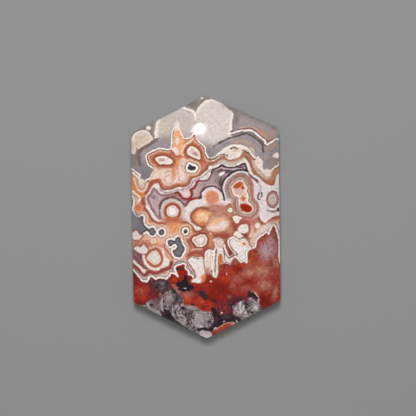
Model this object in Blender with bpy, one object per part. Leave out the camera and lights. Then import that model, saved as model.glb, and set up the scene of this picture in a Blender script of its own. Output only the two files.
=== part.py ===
"""Polished cabochon of crazy lace agate, cut as a long six-sided tablet with a low dome.

The stone is one piece. It lies on its flat back with the dome up, X across it and Y along it.
"""

import math

import bmesh
import bpy
from mathutils import Vector

MM = 0.001

# The plan view's corners before rounding, clockwise from the top tip.
# The stone was cut by hand, so no two of its sides match.
TOP_TIP = Vector((-0.17, 20.62)) * MM
UPPER_RIGHT = Vector((12.43, 15.05)) * MM
LOWER_RIGHT = Vector((12.73, -14.31)) * MM
BOTTOM_TIP = Vector((0.20, -20.81)) * MM
LOWER_LEFT = Vector((-12.33, -14.64)) * MM
UPPER_LEFT = Vector((-12.80, 14.14)) * MM
CORNERS = (TOP_TIP, UPPER_RIGHT, LOWER_RIGHT, BOTTOM_TIP, LOWER_LEFT, UPPER_LEFT)
CORNER_RADIUS = 1.1 * MM
ARC_STEPS = 5
SIDE_STEP = 1.4 * MM

# Heights above the flat back. The bevel goes as far in as it goes up.
THICKNESS = 5.5 * MM
GIRDLE_HEIGHT = 2.7 * MM
BACK_BEVEL = 0.4 * MM
# The outline's size at the top of the wall, which leans in so that a bezel can close over it.
GIRDLE_RATIO = 0.996

# The dome climbs mostly within this distance of each side. A lower power rounds its shoulder more.
SHOULDER_WIDTH = 2.6 * MM
SHOULDER_POWER = 0.75
# The share of its height that the dome loses from its middle to the two tips, beyond the shoulder.
CROWN = 0.12
DOME_RINGS = 16
RING_CROWDING = 1.6
SMALLEST_RING = 0.05

STONE_COLOUR = (0.52, 0.24, 0.15, 1.0)
STONE_ROUGHNESS = 0.08


def clear_scene():
    for obj in list(bpy.data.objects):
        bpy.data.objects.remove(obj)


def corner_arc(before, corner, after):
    """Points of the arc that rounds one corner, in the order of the outline."""
    back = (before - corner).normalized()
    ahead = (after - corner).normalized()
    half_angle = back.angle(ahead) / 2
    centre = corner + (back + ahead).normalized() * (CORNER_RADIUS / math.sin(half_angle))
    tangent = CORNER_RADIUS / math.tan(half_angle)
    first = corner + back * tangent - centre
    last = corner + ahead * tangent - centre
    directions = [first.slerp(last, i / ARC_STEPS) for i in range(ARC_STEPS + 1)]
    return [centre + direction * CORNER_RADIUS for direction in directions]


def outline():
    """The rounded plan view at its widest, as points in order round it."""
    afters = CORNERS[1:] + CORNERS[:1]
    arcs = [corner_arc(CORNERS[i - 1], corner, afters[i]) for i, corner in enumerate(CORNERS)]
    points = []
    for arc, following in zip(arcs, arcs[1:] + arcs[:1]):
        points += arc
        pieces = round((following[0] - arc[-1]).length / SIDE_STEP)
        points += [arc[-1].lerp(following[0], i / pieces) for i in range(1, pieces)]
    return points


def rise(x, y):
    """The dome's height over the girdle at a point of the plan view, before it is scaled to 1."""
    share = 1.0
    for start, end in zip(CORNERS, CORNERS[1:] + CORNERS[:1]):
        inward = Vector((end.y - start.y, start.x - end.x)).normalized()
        distance = (Vector((x, y)) - start * GIRDLE_RATIO).dot(inward)
        share *= 1 - math.exp(-max(distance, 0.0) / SHOULDER_WIDTH)
    crown = 1 - CROWN * (x * x + y * y) / TOP_TIP.length_squared
    return share**SHOULDER_POWER * crown


def dome_height(x, y):
    return GIRDLE_HEIGHT + (THICKNESS - GIRDLE_HEIGHT) * rise(x, y) / rise(0, 0)


def step_in(bm, face, ratio):
    """Runs a ring of new faces round a face, which shrinks by that ratio about the stone's axis."""
    bmesh.ops.inset_individual(bm, faces=[face])
    bmesh.ops.scale(bm, vec=(ratio, ratio, 1), verts=face.verts)


def ring_sizes():
    """Each dome ring's size as a share of the girdle, close together at the shoulder."""
    steps = [(i / DOME_RINGS) ** RING_CROWDING for i in range(1, DOME_RINGS + 1)]
    return [1 - (1 - SMALLEST_RING) * step for step in steps]


def cabochon_mesh():
    """The outline drawn up into a wall, its top face stepped in ring by ring to make the dome."""
    bm = bmesh.new()
    back = bm.faces.new([bm.verts.new((p.x, p.y, BACK_BEVEL)) for p in outline()])
    drawn = bmesh.ops.extrude_face_region(bm, geom=[back])["geom"]
    top = next(item for item in drawn if isinstance(item, bmesh.types.BMFace))
    bmesh.ops.scale(bm, vec=(GIRDLE_RATIO, GIRDLE_RATIO, 1), verts=top.verts)
    size = 1.0
    for ring in [1.0] + ring_sizes():
        if ring < size:
            step_in(bm, top, ring / size)
        for vert in top.verts:
            vert.co.z = dome_height(vert.co.x, vert.co.y)
        size = ring
    step_in(bm, back, 1 - BACK_BEVEL / UPPER_RIGHT.x)
    for vert in back.verts:
        vert.co.z = 0
    bmesh.ops.recalc_face_normals(bm, faces=bm.faces)
    mesh = bpy.data.meshes.new("cabochon")
    bm.to_mesh(mesh)
    bm.free()
    return mesh


def centre_plan(mesh):
    """Moves the mesh so that the middle of its own box, seen from above, is at the origin."""
    for axis in (0, 1):
        values = [vert.co[axis] for vert in mesh.vertices]
        shift = (min(values) + max(values)) / 2
        for vert in mesh.vertices:
            vert.co[axis] -= shift


def stone_material():
    material = bpy.data.materials.new("polished_agate")
    material.use_nodes = True
    shader = material.node_tree.nodes["Principled BSDF"]
    shader.inputs["Base Color"].default_value = STONE_COLOUR
    shader.inputs["Roughness"].default_value = STONE_ROUGHNESS
    shader.inputs["Metallic"].default_value = 0.0
    return material


def build_cabochon():
    mesh = cabochon_mesh()
    centre_plan(mesh)
    mesh.materials.append(stone_material())
    mesh.shade_smooth()
    mesh.set_sharp_from_angle(angle=math.radians(30))
    collection = bpy.data.collections.new("crazy_lace_agate_cabochon")
    bpy.context.scene.collection.children.link(collection)
    collection.objects.link(bpy.data.objects.new("cabochon", mesh))


clear_scene()
build_cabochon()
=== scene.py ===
"""Crazy lace agate cabochon, polished all over, lying on its flat back under soft studio light.

The stone's banding is held as distances from listed outlines, one named mark at a time.
"""

import math
from collections import namedtuple

import bpy
import numpy as np
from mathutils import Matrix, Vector


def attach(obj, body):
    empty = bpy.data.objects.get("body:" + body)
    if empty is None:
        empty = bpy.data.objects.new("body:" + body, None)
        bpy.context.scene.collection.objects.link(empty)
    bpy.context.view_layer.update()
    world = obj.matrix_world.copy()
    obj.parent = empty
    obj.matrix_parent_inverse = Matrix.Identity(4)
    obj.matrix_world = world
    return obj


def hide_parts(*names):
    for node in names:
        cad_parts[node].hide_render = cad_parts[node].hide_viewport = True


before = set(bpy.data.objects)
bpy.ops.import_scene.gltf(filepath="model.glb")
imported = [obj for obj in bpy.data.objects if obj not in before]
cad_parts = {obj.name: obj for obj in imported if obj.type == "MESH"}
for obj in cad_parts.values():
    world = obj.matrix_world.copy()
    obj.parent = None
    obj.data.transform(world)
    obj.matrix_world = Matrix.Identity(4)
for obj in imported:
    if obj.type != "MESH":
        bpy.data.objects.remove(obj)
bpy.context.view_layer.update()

MM = 0.001

# The photograph looks straight down. Its frame is 416 pixels wide and high.
CAMERA_HEIGHT = 0.6
FRAME_PIXELS = 416
PIXEL = 0.17 * MM
STONE_MIDDLE = Vector((205.6, 217.1))

# The stone's shape, as the solid has it
TOP_TIP = Vector((-0.17, 20.62)) * MM
UPPER_RIGHT = Vector((12.43, 15.05)) * MM
LOWER_RIGHT = Vector((12.73, -14.31)) * MM
BOTTOM_TIP = Vector((0.20, -20.81)) * MM
LOWER_LEFT = Vector((-12.33, -14.64)) * MM
UPPER_LEFT = Vector((-12.80, 14.14)) * MM
CORNERS = (TOP_TIP, UPPER_RIGHT, LOWER_RIGHT, BOTTOM_TIP, LOWER_LEFT, UPPER_LEFT)
CORNER_RADIUS = 1.1 * MM
ARC_STEPS = 16
THICKNESS = 5.5 * MM
GIRDLE_HEIGHT = 2.7 * MM
BACK_BEVEL = 0.4 * MM
BACK_RATIO = 1 - BACK_BEVEL / UPPER_RIGHT.x
GIRDLE_RATIO = 0.996
SHOULDER_WIDTH = 2.6 * MM
SHOULDER_POWER = 0.75
CROWN = 0.12

# The mesh is rings of points, each a smaller copy of the outline with that many points more or fewer
RING_STEP = 6
TOP_RINGS = 140
EDGE_RINGS = (0.5, 0.75, 0.9, 0.97, 1.0)
WALL_STEPS = 7
BEVEL_STEPS = 4
BACK_RINGS = 88
MOST_POINTS = RING_STEP * TOP_RINGS


def srgb(red, green, blue):
    """A colour as a screen shows it, 0 to 255 a channel, in linear light."""
    shares = [value / 255 for value in (red, green, blue)]
    linear = [share / 12.92 if share <= 0.04045 else ((share + 0.055) / 1.055) ** 2.4 for share in shares]
    return (*linear, 1.0)


# Colours that several marks share, as a screen shows them
WHITE = (250, 240, 232)
CREAM = (238, 226, 214)
MILK = (227, 214, 211)
BLUSH = (237, 208, 194)
PEACH = (230, 184, 156)
APRICOT = (238, 176, 128)
ORANGE = (226, 148, 96)
TERRACOTTA = (206, 130, 100)
CLAY = (190, 112, 86)
RUST = (170, 86, 62)
SAND = (208, 170, 143)
FAWN = (186, 150, 128)
TAUPE = (152, 134, 126)
ROSE = (208, 152, 142)
MAUVE = (180, 154, 158)
LILAC = (206, 190, 192)
PLUM = (128, 86, 94)
WINE = (94, 46, 58)
GREY = (150, 140, 143)
ASH = (126, 118, 122)
SMOKE = (104, 93, 96)
INK = (38, 28, 33)
SCARLET = (156, 46, 32)
BLOOD = (132, 28, 18)

# Every outline below is a run of (x, y) places in the photograph's pixels, x to the right and y down.
# First the large fields, the cells and the pockets
GREY_TOP = (
    (126, 167), (132, 168.4), (135, 170), (138, 172.6), (141, 175.3), (140.2, 177.4), (140.6, 180),
    (142.2, 182.3), (144.4, 181), (147, 179), (149.4, 178.2), (151, 175.2), (152.6, 172), (154.1, 170.4),
    (152.4, 168.5), (149.4, 166.8), (147.2, 164), (145.8, 160.2), (145.3, 156.4), (146.6, 153.4),
    (150, 151.3), (155, 149.4), (159.6, 147.7), (164, 148.2), (169.2, 148.3), (170.8, 146.4), (171, 140),
    (171.2, 133), (172.4, 129.4), (174.6, 127), (177.4, 126.8), (179.6, 128.8), (181.2, 131.8),
    (182.9, 135.4), (184.4, 137.8), (188, 137.8), (190.8, 136), (192.6, 133.7), (195, 133.1),
    (197.2, 134.6), (196.9, 137.6), (199.2, 141), (203, 144), (205.4, 146.8), (206, 151), (207.6, 154.8),
    (209.6, 157.6), (212.4, 157.9), (215, 155.8), (218.6, 153), (222.4, 150.3), (226, 147.4), (230, 145.4),
    (234, 144.6), (238.4, 144.4), (242, 145.1), (246, 146.7), (249.4, 149.4), (251.8, 152.8),
    (254.2, 156.2), (256.2, 157.2), (258.2, 156.7), (260.4, 158.8), (262.2, 160.2), (262.2, 162.2),
    (261.3, 164.8), (261.7, 167.4), (263.4, 169.9), (265.5, 170.4), (266.2, 168.9), (267.2, 168.4),
    (268.4, 169.8), (270.4, 170.3), (272.4, 168.6), (274, 166.5), (276.4, 165.4), (278.4, 163.8),
    (279, 161), (283, 157), (296, 150), (296, 80), (200, 70), (116, 80), (112, 160),
)
EYE = (
    (189.6, 164.4), (191, 165.2), (193.2, 165.8), (195.3, 166.7), (195.8, 168.2), (194.6, 169.7),
    (192.8, 170.2), (190.4, 169.9), (188.4, 169.2), (187.8, 167.7), (188.8, 166.2),
)
LEFT_POCKET = (
    (124, 196), (131.2, 197), (132.7, 200), (132.9, 203), (132.2, 206), (131.8, 209), (132.6, 212.4),
    (134.2, 215.2), (136.2, 217.4), (139, 218), (140.8, 217), (142.1, 215.9), (143.1, 217.2),
    (143.2, 220.2), (143.4, 223.2), (144.8, 225.8), (147.2, 228.1), (149.4, 229.1), (150.8, 228.3),
    (152.4, 227.5), (154, 228.5), (155.2, 230.2), (156.3, 231.5), (155.2, 233.1), (153.7, 234.8),
    (151.9, 235.2), (150.1, 233.9), (148.6, 231.8), (146.8, 230.8), (144.8, 231.6), (142.2, 233.7),
    (140.4, 235), (138.8, 233.8), (137.6, 231.7), (135.8, 230.9), (133.6, 231.8), (131.6, 233), (124, 234),
)
RIGHT_SPOT = (
    (158.6, 231.9), (159.8, 230.4), (161.4, 229.6), (163, 229.8), (164, 231.4), (164, 233.2),
    (162.8, 234.8), (161, 235), (159.4, 233.6),
)
LOBED_POCKET = (
    (168, 241.2), (169.4, 240), (171.4, 239.9), (173.4, 240.9), (175, 240.5), (175.6, 238.9),
    (177.2, 237.4), (179, 237), (180.3, 238.4), (181.1, 241.2), (181.7, 244), (183.2, 245.8),
    (184.2, 247.8), (184.1, 250.4), (182.6, 253.3), (181, 256.1), (178.8, 257), (176.2, 256.7),
    (174.4, 254.7), (173.1, 252.2), (173.2, 250.6), (175.2, 249.8), (177, 248.4), (177.5, 246.6),
    (176.4, 244.5), (174.7, 243.4), (173.2, 244.2), (171.4, 245.9), (169.8, 245.7), (168.4, 243.9),
)
JASPER = (
    (122, 269), (131, 269.6), (134, 272), (137, 275.3), (139.4, 278.2), (141.6, 281.2), (143.2, 282.4),
    (145, 282), (147, 282.4), (148.6, 280.4), (149.9, 278), (151.6, 277.2), (153.6, 278.2), (155.9, 279.7),
    (158, 278.6), (161, 278.2), (163.8, 278.7), (166, 279.5), (168.3, 278.2), (170.3, 276.5),
    (170.8, 274.5), (172.4, 273.5), (174.2, 274.4), (176, 276.2), (177.9, 277.3), (178.9, 276.2),
    (177.6, 273.7), (176.2, 271.2), (175.5, 268.8), (176.5, 266.9), (178.6, 265.7), (181, 265.5),
    (183.2, 264.5), (184.7, 265.2), (184.6, 267.8), (185.4, 269.7), (187.3, 270.8), (187.8, 272.4),
    (187.6, 274.2), (189.4, 275.4), (191.6, 275.9), (192.4, 277.5), (191.6, 279.5), (190.7, 281),
    (191.8, 282.4), (195, 282.8), (199, 283.4), (201.6, 282.5), (203.4, 279), (205, 275.2), (207, 273),
    (210, 273.2), (212, 275.6), (213.6, 277.6), (215.4, 278.3), (217.4, 277.3), (218.3, 273.6),
    (218.5, 268), (219.4, 265), (221.6, 264), (224, 263.6), (226, 264), (228.6, 263.8), (230.4, 264.5),
    (232.2, 262), (234, 259.4), (235.6, 258.6), (237.6, 260.1), (239.4, 262), (241, 262.9), (243.4, 261.9),
    (245.2, 263.4), (247, 264), (247.9, 261), (247.7, 256), (248.1, 252.4), (249.6, 250.6), (251.7, 249.9),
    (253.2, 248.5), (255.2, 248), (256.4, 245.4), (256.9, 242), (257.9, 239.2), (260.2, 237.2),
    (263.2, 235.7), (265, 234.2), (266.4, 233), (267.6, 234.7), (268.8, 234.9), (269.9, 232.4),
    (271.2, 229.2), (272.6, 226.7), (274.2, 226), (275.2, 228.4), (276.4, 232), (277.6, 236), (279, 240.4),
    (278.5, 246), (278.3, 252), (278.6, 258), (279.4, 263), (282, 268), (296, 270), (296, 350), (206, 352),
    (122, 344),
)
MILK_FIELD = (
    (143.8, 195.2), (146.2, 193.8), (148.3, 191.6), (149.8, 188.8), (151.2, 186.3), (153.6, 184.4),
    (156, 182.7), (157.8, 182.5), (158.9, 184.6), (160.2, 187.8), (162.4, 189.8), (166, 190.2), (170, 190),
    (174, 188.6), (177.6, 187.4), (182, 187.4), (186, 186.8), (189.4, 184.8), (191.3, 182), (192.2, 179.4),
    (194.4, 178), (198, 176.9), (201.4, 175.2), (203.6, 172.9), (206.6, 170.5), (208.6, 167.9),
    (210, 165.5), (213.6, 165.5), (216.6, 164.2), (219.4, 161.8), (222.4, 160.5), (225.6, 161.6),
    (230, 163), (234.8, 163), (238.8, 161.7), (242, 158.9), (244.6, 158.2), (247.2, 160.8), (249.6, 164.6),
    (250.8, 168.4), (251.7, 172.2), (254.6, 175.1), (259, 176.3), (261.8, 178.9), (264, 182.2),
    (267.4, 184.5), (271.2, 185.6), (274, 184.9), (275.1, 181.6), (275.7, 177.2), (277.4, 174), (281, 173),
    (290, 173), (290, 215), (279.8, 215.6), (276, 215.9), (272.8, 217.2), (270, 219.8), (267, 221.8),
    (264.2, 222.5), (262, 220.8), (260, 218), (258.9, 214.8), (254, 216), (244, 215), (236, 211),
    (232.6, 205.2), (230, 202.9), (226.6, 204.2), (223.6, 206), (220, 206), (213, 207), (207.8, 207.2),
    (204.4, 206.8), (200.6, 207.7), (196.6, 209.3), (193.6, 211.7), (191.6, 215.2), (191.8, 218.8),
    (193.9, 222), (197, 225.2), (200.4, 227.2), (201.2, 228.9), (199, 230.4), (196.2, 230.4),
    (194.5, 228.2), (192.2, 224.8), (188.4, 221.9), (183.6, 220.7), (178, 220.9), (172, 222.5),
    (166.6, 221.5), (161.4, 221.7), (156.6, 221), (153.2, 218.6), (151.2, 215.8), (149.6, 212.5),
    (146.8, 209), (144.6, 205.7), (143.6, 203.2), (143.9, 199.6),
)
GREY_FIELD = (
    (212.2, 168.8), (214.4, 168.3), (217, 168), (219.2, 166.7), (222, 164.8), (224.6, 166.3), (228, 167.5),
    (232, 167.4), (236.4, 166.4), (240.2, 165.1), (243.8, 163), (245.6, 164.4), (246.6, 168),
    (247.7, 171.4), (245.4, 170.3), (240.4, 169.6), (235.4, 170.8), (231.2, 173.1), (227.6, 176),
    (224.6, 179.4), (222.4, 183.4), (221.5, 187.8), (222.6, 191.8), (224.2, 195.8), (224.8, 199.9),
    (223.9, 199.9), (223.2, 195.8), (221, 191.4), (218.2, 188.2), (214.6, 186.4), (210.4, 186.2),
    (206.4, 187.3), (203.3, 189.6), (201.5, 193.2), (200.8, 197.4), (197, 198.3), (192.6, 199.4),
    (189.2, 201.1), (186.8, 204.3), (184.7, 206), (182.2, 203.4), (178.6, 200), (174.6, 198.1),
    (170.4, 197.7), (165.6, 199.2), (162, 202.1), (160.4, 206), (160.6, 210.6), (161.7, 215.4),
    (162.2, 218.2), (159.6, 218.8), (156.4, 216), (153.2, 211.4), (150.2, 207), (148.1, 202.4),
    (147.2, 197), (149.6, 194.8), (151.6, 191.4), (153.9, 188), (156.6, 190.2), (159.6, 193.5),
    (164, 194.8), (169, 194.1), (174, 192.6), (177.8, 192.2), (180, 194.6), (182.8, 197.8), (186.4, 199.3),
    (189.8, 198.2), (191.6, 195.2), (191.7, 191.8), (190.6, 189.9), (193.2, 188.2), (195.2, 185.8),
    (196.6, 182.4), (199, 180.1), (203, 180.5), (207, 179.7), (210, 177), (211.3, 172.8),
)
PEACH_FIELD = (
    (155.4, 173.6), (158.6, 170.2), (163, 168.6), (168, 168), (172.6, 167.4), (176.2, 163.6), (179, 160.2),
    (183, 158.4), (187, 160), (186.6, 165), (187, 171), (190.2, 174), (195, 174.6), (190.6, 175.4),
    (188.6, 178), (189.6, 181.4), (186, 183.2), (180, 183.3), (174, 184.2), (168, 185.8), (163.8, 184.4),
    (161.4, 181.2), (159.2, 177.6), (155.4, 176.6), (152.8, 177.4),
)
CELL_LEFT = (
    (155.3, 159), (158.4, 157), (162.4, 156.5), (166.4, 156.9), (169.6, 158.6), (172.3, 161.4),
    (171.2, 163.6), (168.6, 163.9), (164.6, 163.8), (160.4, 163.8), (158, 161.9),
)
CELL_RIGHT = (
    (191.4, 146.4), (194.4, 147.7), (197.6, 149.8), (199.2, 153.4), (200.2, 157.2), (199.6, 159.1),
    (196, 158), (191.8, 156.5), (188.6, 154.7), (187.1, 152.4), (188.2, 149.4),
)
DRIP_OVAL = (
    (172.6, 147.6), (175, 147.4), (177.4, 148.6), (178.7, 151), (178.4, 153.8), (176.8, 155),
    (175.2, 153.6), (173.8, 151.2), (172.2, 149.6),
)
CELL_MIDDLE = (
    (201.4, 233.9), (204.2, 234.9), (206.6, 237.6), (207, 240.6), (205.6, 243.8), (202.8, 246.2),
    (199.8, 247), (196.2, 245.6), (193.8, 243), (192.2, 239.9), (193.4, 237.5), (196.8, 236.1),
    (199.2, 234.7),
)
DRIP_ONE = (
    (188.4, 260.4), (190.6, 258), (192.4, 256.4), (195, 257), (197, 258.2), (199, 257), (201, 256.8),
    (203, 258.2), (204.2, 261), (204.8, 266), (204.6, 271), (203.8, 276), (202.4, 280), (200.8, 282.2),
    (198.2, 282.6), (195, 282.2), (191.8, 281.6), (192.6, 279.8), (195.6, 278.4), (196.6, 276.2),
    (195.6, 272.4), (193.6, 268.6), (191.4, 265.4), (189.6, 262.8),
)
DRIP_TWO = (
    (205.8, 252.2), (207.8, 250), (210.4, 249.3), (212.8, 250.4), (214, 252.6), (213, 255.6), (212.2, 259),
    (212.2, 264), (211.6, 269), (209.4, 272.4), (206.6, 271.6), (205.3, 267), (205, 261), (205.2, 256),
)
DRIP_THREE = (
    (213.6, 242), (214.2, 239.6), (217, 238.2), (219.8, 238.4), (222.2, 239.9), (223.6, 242.8),
    (225, 245.8), (226.2, 249.6), (228, 254), (230, 257.2), (233.6, 257.4), (231.4, 260.4), (230.2, 262.8),
    (228, 262), (225.6, 261), (224.2, 262.6), (222.8, 260), (222.6, 256), (221.6, 253.4), (219.4, 253.2),
    (218.4, 256), (217.8, 260), (217.8, 266), (218, 272.6), (217, 276.2), (215.3, 277.3), (213.5, 276),
    (212.6, 272), (212.4, 264), (213.2, 257), (214, 250.6), (215.4, 246.6), (214.8, 244),
)
HEART = (
    (227.8, 244.4), (228, 240.6), (230, 237.9), (233, 236.6), (235.4, 237.2), (237, 238.8), (239, 239.6),
    (241, 238.8), (243.6, 238.2), (246.4, 239.6), (248.4, 242.2), (249.8, 245.8), (251.4, 248.8),
    (249, 250), (247.6, 252.4), (247.2, 257.6), (247.4, 262), (246.2, 263), (244, 261.4), (241, 262.4),
    (238.6, 260.6), (236.8, 258), (234.6, 257.4), (233.6, 256.2), (235.6, 254.8), (233.6, 252.4),
    (230.6, 248.9),
)
BUD = (
    (234, 235.6), (234.6, 233), (237.2, 231), (239.6, 232.2), (241.4, 235), (243, 236.9), (240.8, 238.7),
    (238.4, 240), (235.8, 238.2),
)
PEARL = (
    (238.9, 227.2), (241.4, 225.1), (244.2, 224.7), (246.6, 224.5), (247.9, 227.2), (248.4, 230),
    (246.8, 232.4), (243.6, 232.8), (240.6, 232.2), (238.2, 230.1),
)
CHIP = (
    (233, 217.4), (235, 215.9), (237.6, 216.2), (241.8, 218.2), (239.6, 219.8), (238, 222.2), (236, 222.8),
    (234.2, 220.8),
)
CREAM_SLAB = (
    (211.6, 159.8), (215.4, 156.6), (219, 153.2), (222.4, 150.4), (226, 147.4), (230, 145.6), (235, 145),
    (240, 145.6), (244, 146.8), (247, 148), (249.8, 150.8), (251.6, 154.2), (250.4, 154.8), (248.4, 152.6),
    (245.6, 151.2), (242.6, 150.6), (241.8, 152.6), (240.2, 154.8), (238, 156.6), (235, 157.9),
    (231.4, 158.8), (228.6, 158.4), (226.6, 156.4), (224.6, 154.9), (221.6, 154.6), (218, 157),
    (214.4, 159.8),
)
INNER_CELL = (
    (240.4, 180.2), (236.8, 181.8), (233.4, 184.2), (232, 187), (232.3, 190.8), (233.6, 194),
    (235.8, 195.8), (238.4, 196.6), (239.2, 198.8), (238.9, 202.6), (239.2, 206.8), (240.8, 210.2),
    (243.6, 212.6), (247.2, 213.5), (250.8, 212.7), (253, 209.8), (252.6, 206.4), (250, 203.4),
    (247.6, 201.7), (248.2, 198), (247.6, 194), (246.2, 191.2), (247.2, 188.4), (246.2, 186),
    (244.4, 184.6), (243.6, 182), (242.4, 180.6),
)
PURPLE_WEDGE = (
    (130, 249), (134.4, 250.7), (138, 252.7), (141.8, 253.6), (142.4, 257.2), (142.5, 260.6),
    (144.4, 264.8), (147, 267.4), (149.2, 268.5), (146.6, 269.5), (143.8, 268.6), (140.2, 265.2),
    (136.6, 261.6), (133.4, 258.4), (130, 256),
)
CREAM_LEFT = (
    (131.5, 235.2), (134.2, 232.2), (136.6, 231), (138.4, 233.4), (140.3, 235.7), (142.6, 234.9),
    (141.4, 237.3), (138.8, 239.2), (135.8, 240), (133.2, 238.8),
)
WHITE_LEFT = (
    (134.2, 248.2), (136.4, 246.9), (139, 247.2), (141.2, 247.8), (142.8, 246.2), (143.7, 244.2),
    (145.2, 246.8), (147.6, 249.8), (146.2, 252.4), (143.6, 253.6), (141, 252.9), (138, 251.6),
    (135.4, 250.2),
)
DOME_LEFT = (
    (128, 150), (131, 141), (133, 135.8), (136.4, 132.4), (140.4, 130.8), (144.6, 130.2), (148.2, 131.6),
    (150.8, 134.6), (153, 138.4), (151.4, 140.6), (148.4, 143.4), (144, 146), (139.6, 148.4),
    (136.6, 150.4), (135.4, 153.6), (133.4, 154), (131, 152.4),
)
DOME_MIDDLE = (
    (155.4, 138), (154.4, 133), (155.6, 128.2), (155.9, 124), (157, 119), (160.6, 114), (166.6, 110.4),
    (172.6, 107.2), (178.4, 105), (182.6, 105.8), (188.2, 108.6), (191.6, 110.2), (194.2, 111.4),
    (196.6, 113), (202, 118), (204, 126), (206, 136), (200, 146), (186, 148), (170, 148), (160, 142.4),
)
DOME_RIGHT = (
    (193.6, 114), (196.4, 111.4), (197.6, 108.2), (200.4, 104.9), (203.6, 101.6), (206.6, 99.8),
    (211.6, 99.2), (216.6, 99.9), (221, 102.2), (224.4, 104.8), (227.4, 108.2), (230.8, 110.8),
    (233.4, 113.2), (233.2, 116.4), (232, 120), (232, 125), (231.8, 129.4), (230.4, 132.8), (233, 142),
    (220, 156), (205, 156), (192, 150), (189, 134), (190, 122),
)
ARCH_FOOT = (
    (226, 141.4), (220, 144.2), (214, 145.4), (208, 144.2), (201, 143.4), (204, 152), (206, 162),
    (214, 162), (240, 152), (264, 156), (262, 145), (256, 138.6), (247, 134.4), (238, 136.6), (231, 139.4),
)
KNOB = ((146.4, 128.2), (147.6, 126.8), (149.2, 126.2), (150.6, 127.2), (150, 128.8), (148, 129.4))
SMALL_WHITE = (
    (273.2, 155.8), (274.6, 154.6), (276, 153.6), (277.6, 153), (278.4, 154.4), (278.8, 156.4),
    (277.6, 157.8), (275.4, 157.6), (274, 157),
)


# The orb, the crystal crust, and the smaller pieces and lines between them
BIG_ORB = (
    (224.4, 199.8), (223, 194.4), (221.6, 190.2), (221.7, 186), (223.2, 181.8), (225.8, 177.8),
    (229.4, 174.6), (233.6, 171.8), (238.4, 170.2), (243, 169.9), (247.2, 171.4), (250, 174.8), (252, 179),
    (253.4, 184), (254.2, 190), (253.6, 195), (254.4, 199), (257.4, 202.2), (259.4, 206), (260.2, 210.4),
    (258.8, 215), (255.2, 218), (249, 219.4), (243, 218.4), (237.6, 215.6), (234, 211.6), (232.4, 206),
    (231, 201.6), (227.8, 200.4),
)
ORB_CORE = (
    (151, 252.9), (153.4, 251), (156.2, 250.8), (158.8, 253), (160.4, 256.6), (160.6, 260.2),
    (158.4, 263.2), (155.2, 264.7), (152.4, 263.4), (149.4, 261.2), (147.4, 258.6), (148.2, 255.6),
)
RED_LENS = (
    (233.6, 187), (234.8, 184.8), (237.2, 183.2), (240, 182), (242, 182.4), (242.4, 184.2), (241, 186.2),
    (238.8, 187.8), (235.8, 188.6),
)
DEEP_LENS = (
    (240, 205.6), (242.6, 203.9), (246.4, 204.2), (249.8, 205.6), (251.6, 208.2), (250.8, 211.2),
    (247.8, 212.4), (244.2, 211.4), (241.2, 209.4),
)
BLACK_PATCH = (
    (184.6, 275.6), (186.4, 276.6), (186.8, 280.2), (187.6, 282.8), (189.6, 284.6), (192.6, 286.2),
    (193.2, 288.2), (190.6, 289.2), (189.4, 291), (186.8, 290.4), (184, 291.2), (181.4, 289.6),
    (178.8, 289.6), (180, 287.4), (177.4, 285.4), (177, 282.6), (180, 281.8), (182.4, 280.6),
    (183.6, 278.4),
)
DRUZY_LEFT = (
    (138, 306), (146, 304), (149.6, 300.6), (154.6, 300.4), (158.4, 297.4), (159.4, 293), (156.8, 289.4),
    (152, 286.4), (150, 282.6), (152, 279.8), (158, 280.2), (164, 279.6), (167.4, 281.8), (168.8, 286),
    (171.6, 289.4), (175.2, 293.2), (180.4, 296), (182.4, 300.6), (183, 304.6), (187.6, 305.8),
    (192.4, 305.6), (197, 308.6), (203.4, 311.2), (210.2, 311.6), (213.4, 315), (214.8, 321.6),
    (216.6, 325.6), (215.4, 329.6), (209.2, 329.4), (200.8, 329.8), (199.6, 333), (200, 342), (150, 330),
    (130, 312),
)
DRUZY_RIGHT = (
    (233.4, 308.2), (234.8, 304), (238.6, 302.2), (244, 300.8), (247.4, 300.4), (248.8, 297.8),
    (251.6, 297.6), (254.8, 299.8), (258.4, 303.2), (260.4, 306.4), (262.4, 309), (262, 316), (246, 326),
    (240.6, 319.6), (237, 318), (234.2, 317.4), (232.8, 312.2),
)
DARK_RIGHT = (
    (211.2, 308.4), (214, 307.6), (216.4, 310.6), (219.4, 314.6), (226, 314.4), (231, 313.4),
    (233.4, 316.4), (237, 317.4), (239.6, 319.4), (238.6, 323), (235.6, 322.6), (231.6, 321.6),
    (224.4, 322.8), (219.6, 325.6), (216, 328.4), (213, 331.4), (206.6, 331), (200.2, 330), (202.4, 328),
    (208, 328.6), (212.4, 326.6), (214.6, 320.6), (213, 313.6),
)
RED_SLIVER = (
    (209, 338), (212, 333.4), (214, 330.8), (217, 328.5), (220, 326.5), (224, 324.1), (228, 322.8),
    (231.6, 322.3), (234.8, 323.2), (236, 326), (228, 332), (214, 340),
)
TIP_PIECE = (
    (199.8, 331.6), (204, 331), (208, 331.6), (210.6, 332.8), (211.4, 335), (211, 341), (201, 341),
    (199.4, 334.6),
)
WHITE_TRIANGLE = (
    (164, 256.4), (166.6, 258.6), (170.8, 261.9), (169.6, 264.4), (166.6, 265.6), (163.2, 267.4),
    (160.8, 268.6), (163, 263.4), (164.2, 259.6),
)
PALE_DROP = (
    (207.4, 227.4), (210, 225.8), (213.6, 225.2), (217.6, 224), (221, 221.8), (224.6, 220.8), (227.2, 222),
    (227.8, 224.8), (226.2, 227.6), (223.2, 229.2), (219, 230), (214, 230.2), (209.6, 229.6),
)
V_FILL = (
    (254.6, 158.6), (257.8, 157.4), (260.6, 159.2), (262.6, 162), (262, 166.4), (264, 170), (267.6, 170.2),
    (271.2, 170.2), (272, 174.2), (271.2, 177.4), (269, 179.4), (265.8, 178.4), (262.4, 175.2),
    (258.6, 171.8), (255.6, 167.4), (254, 162.8),
)
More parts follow.
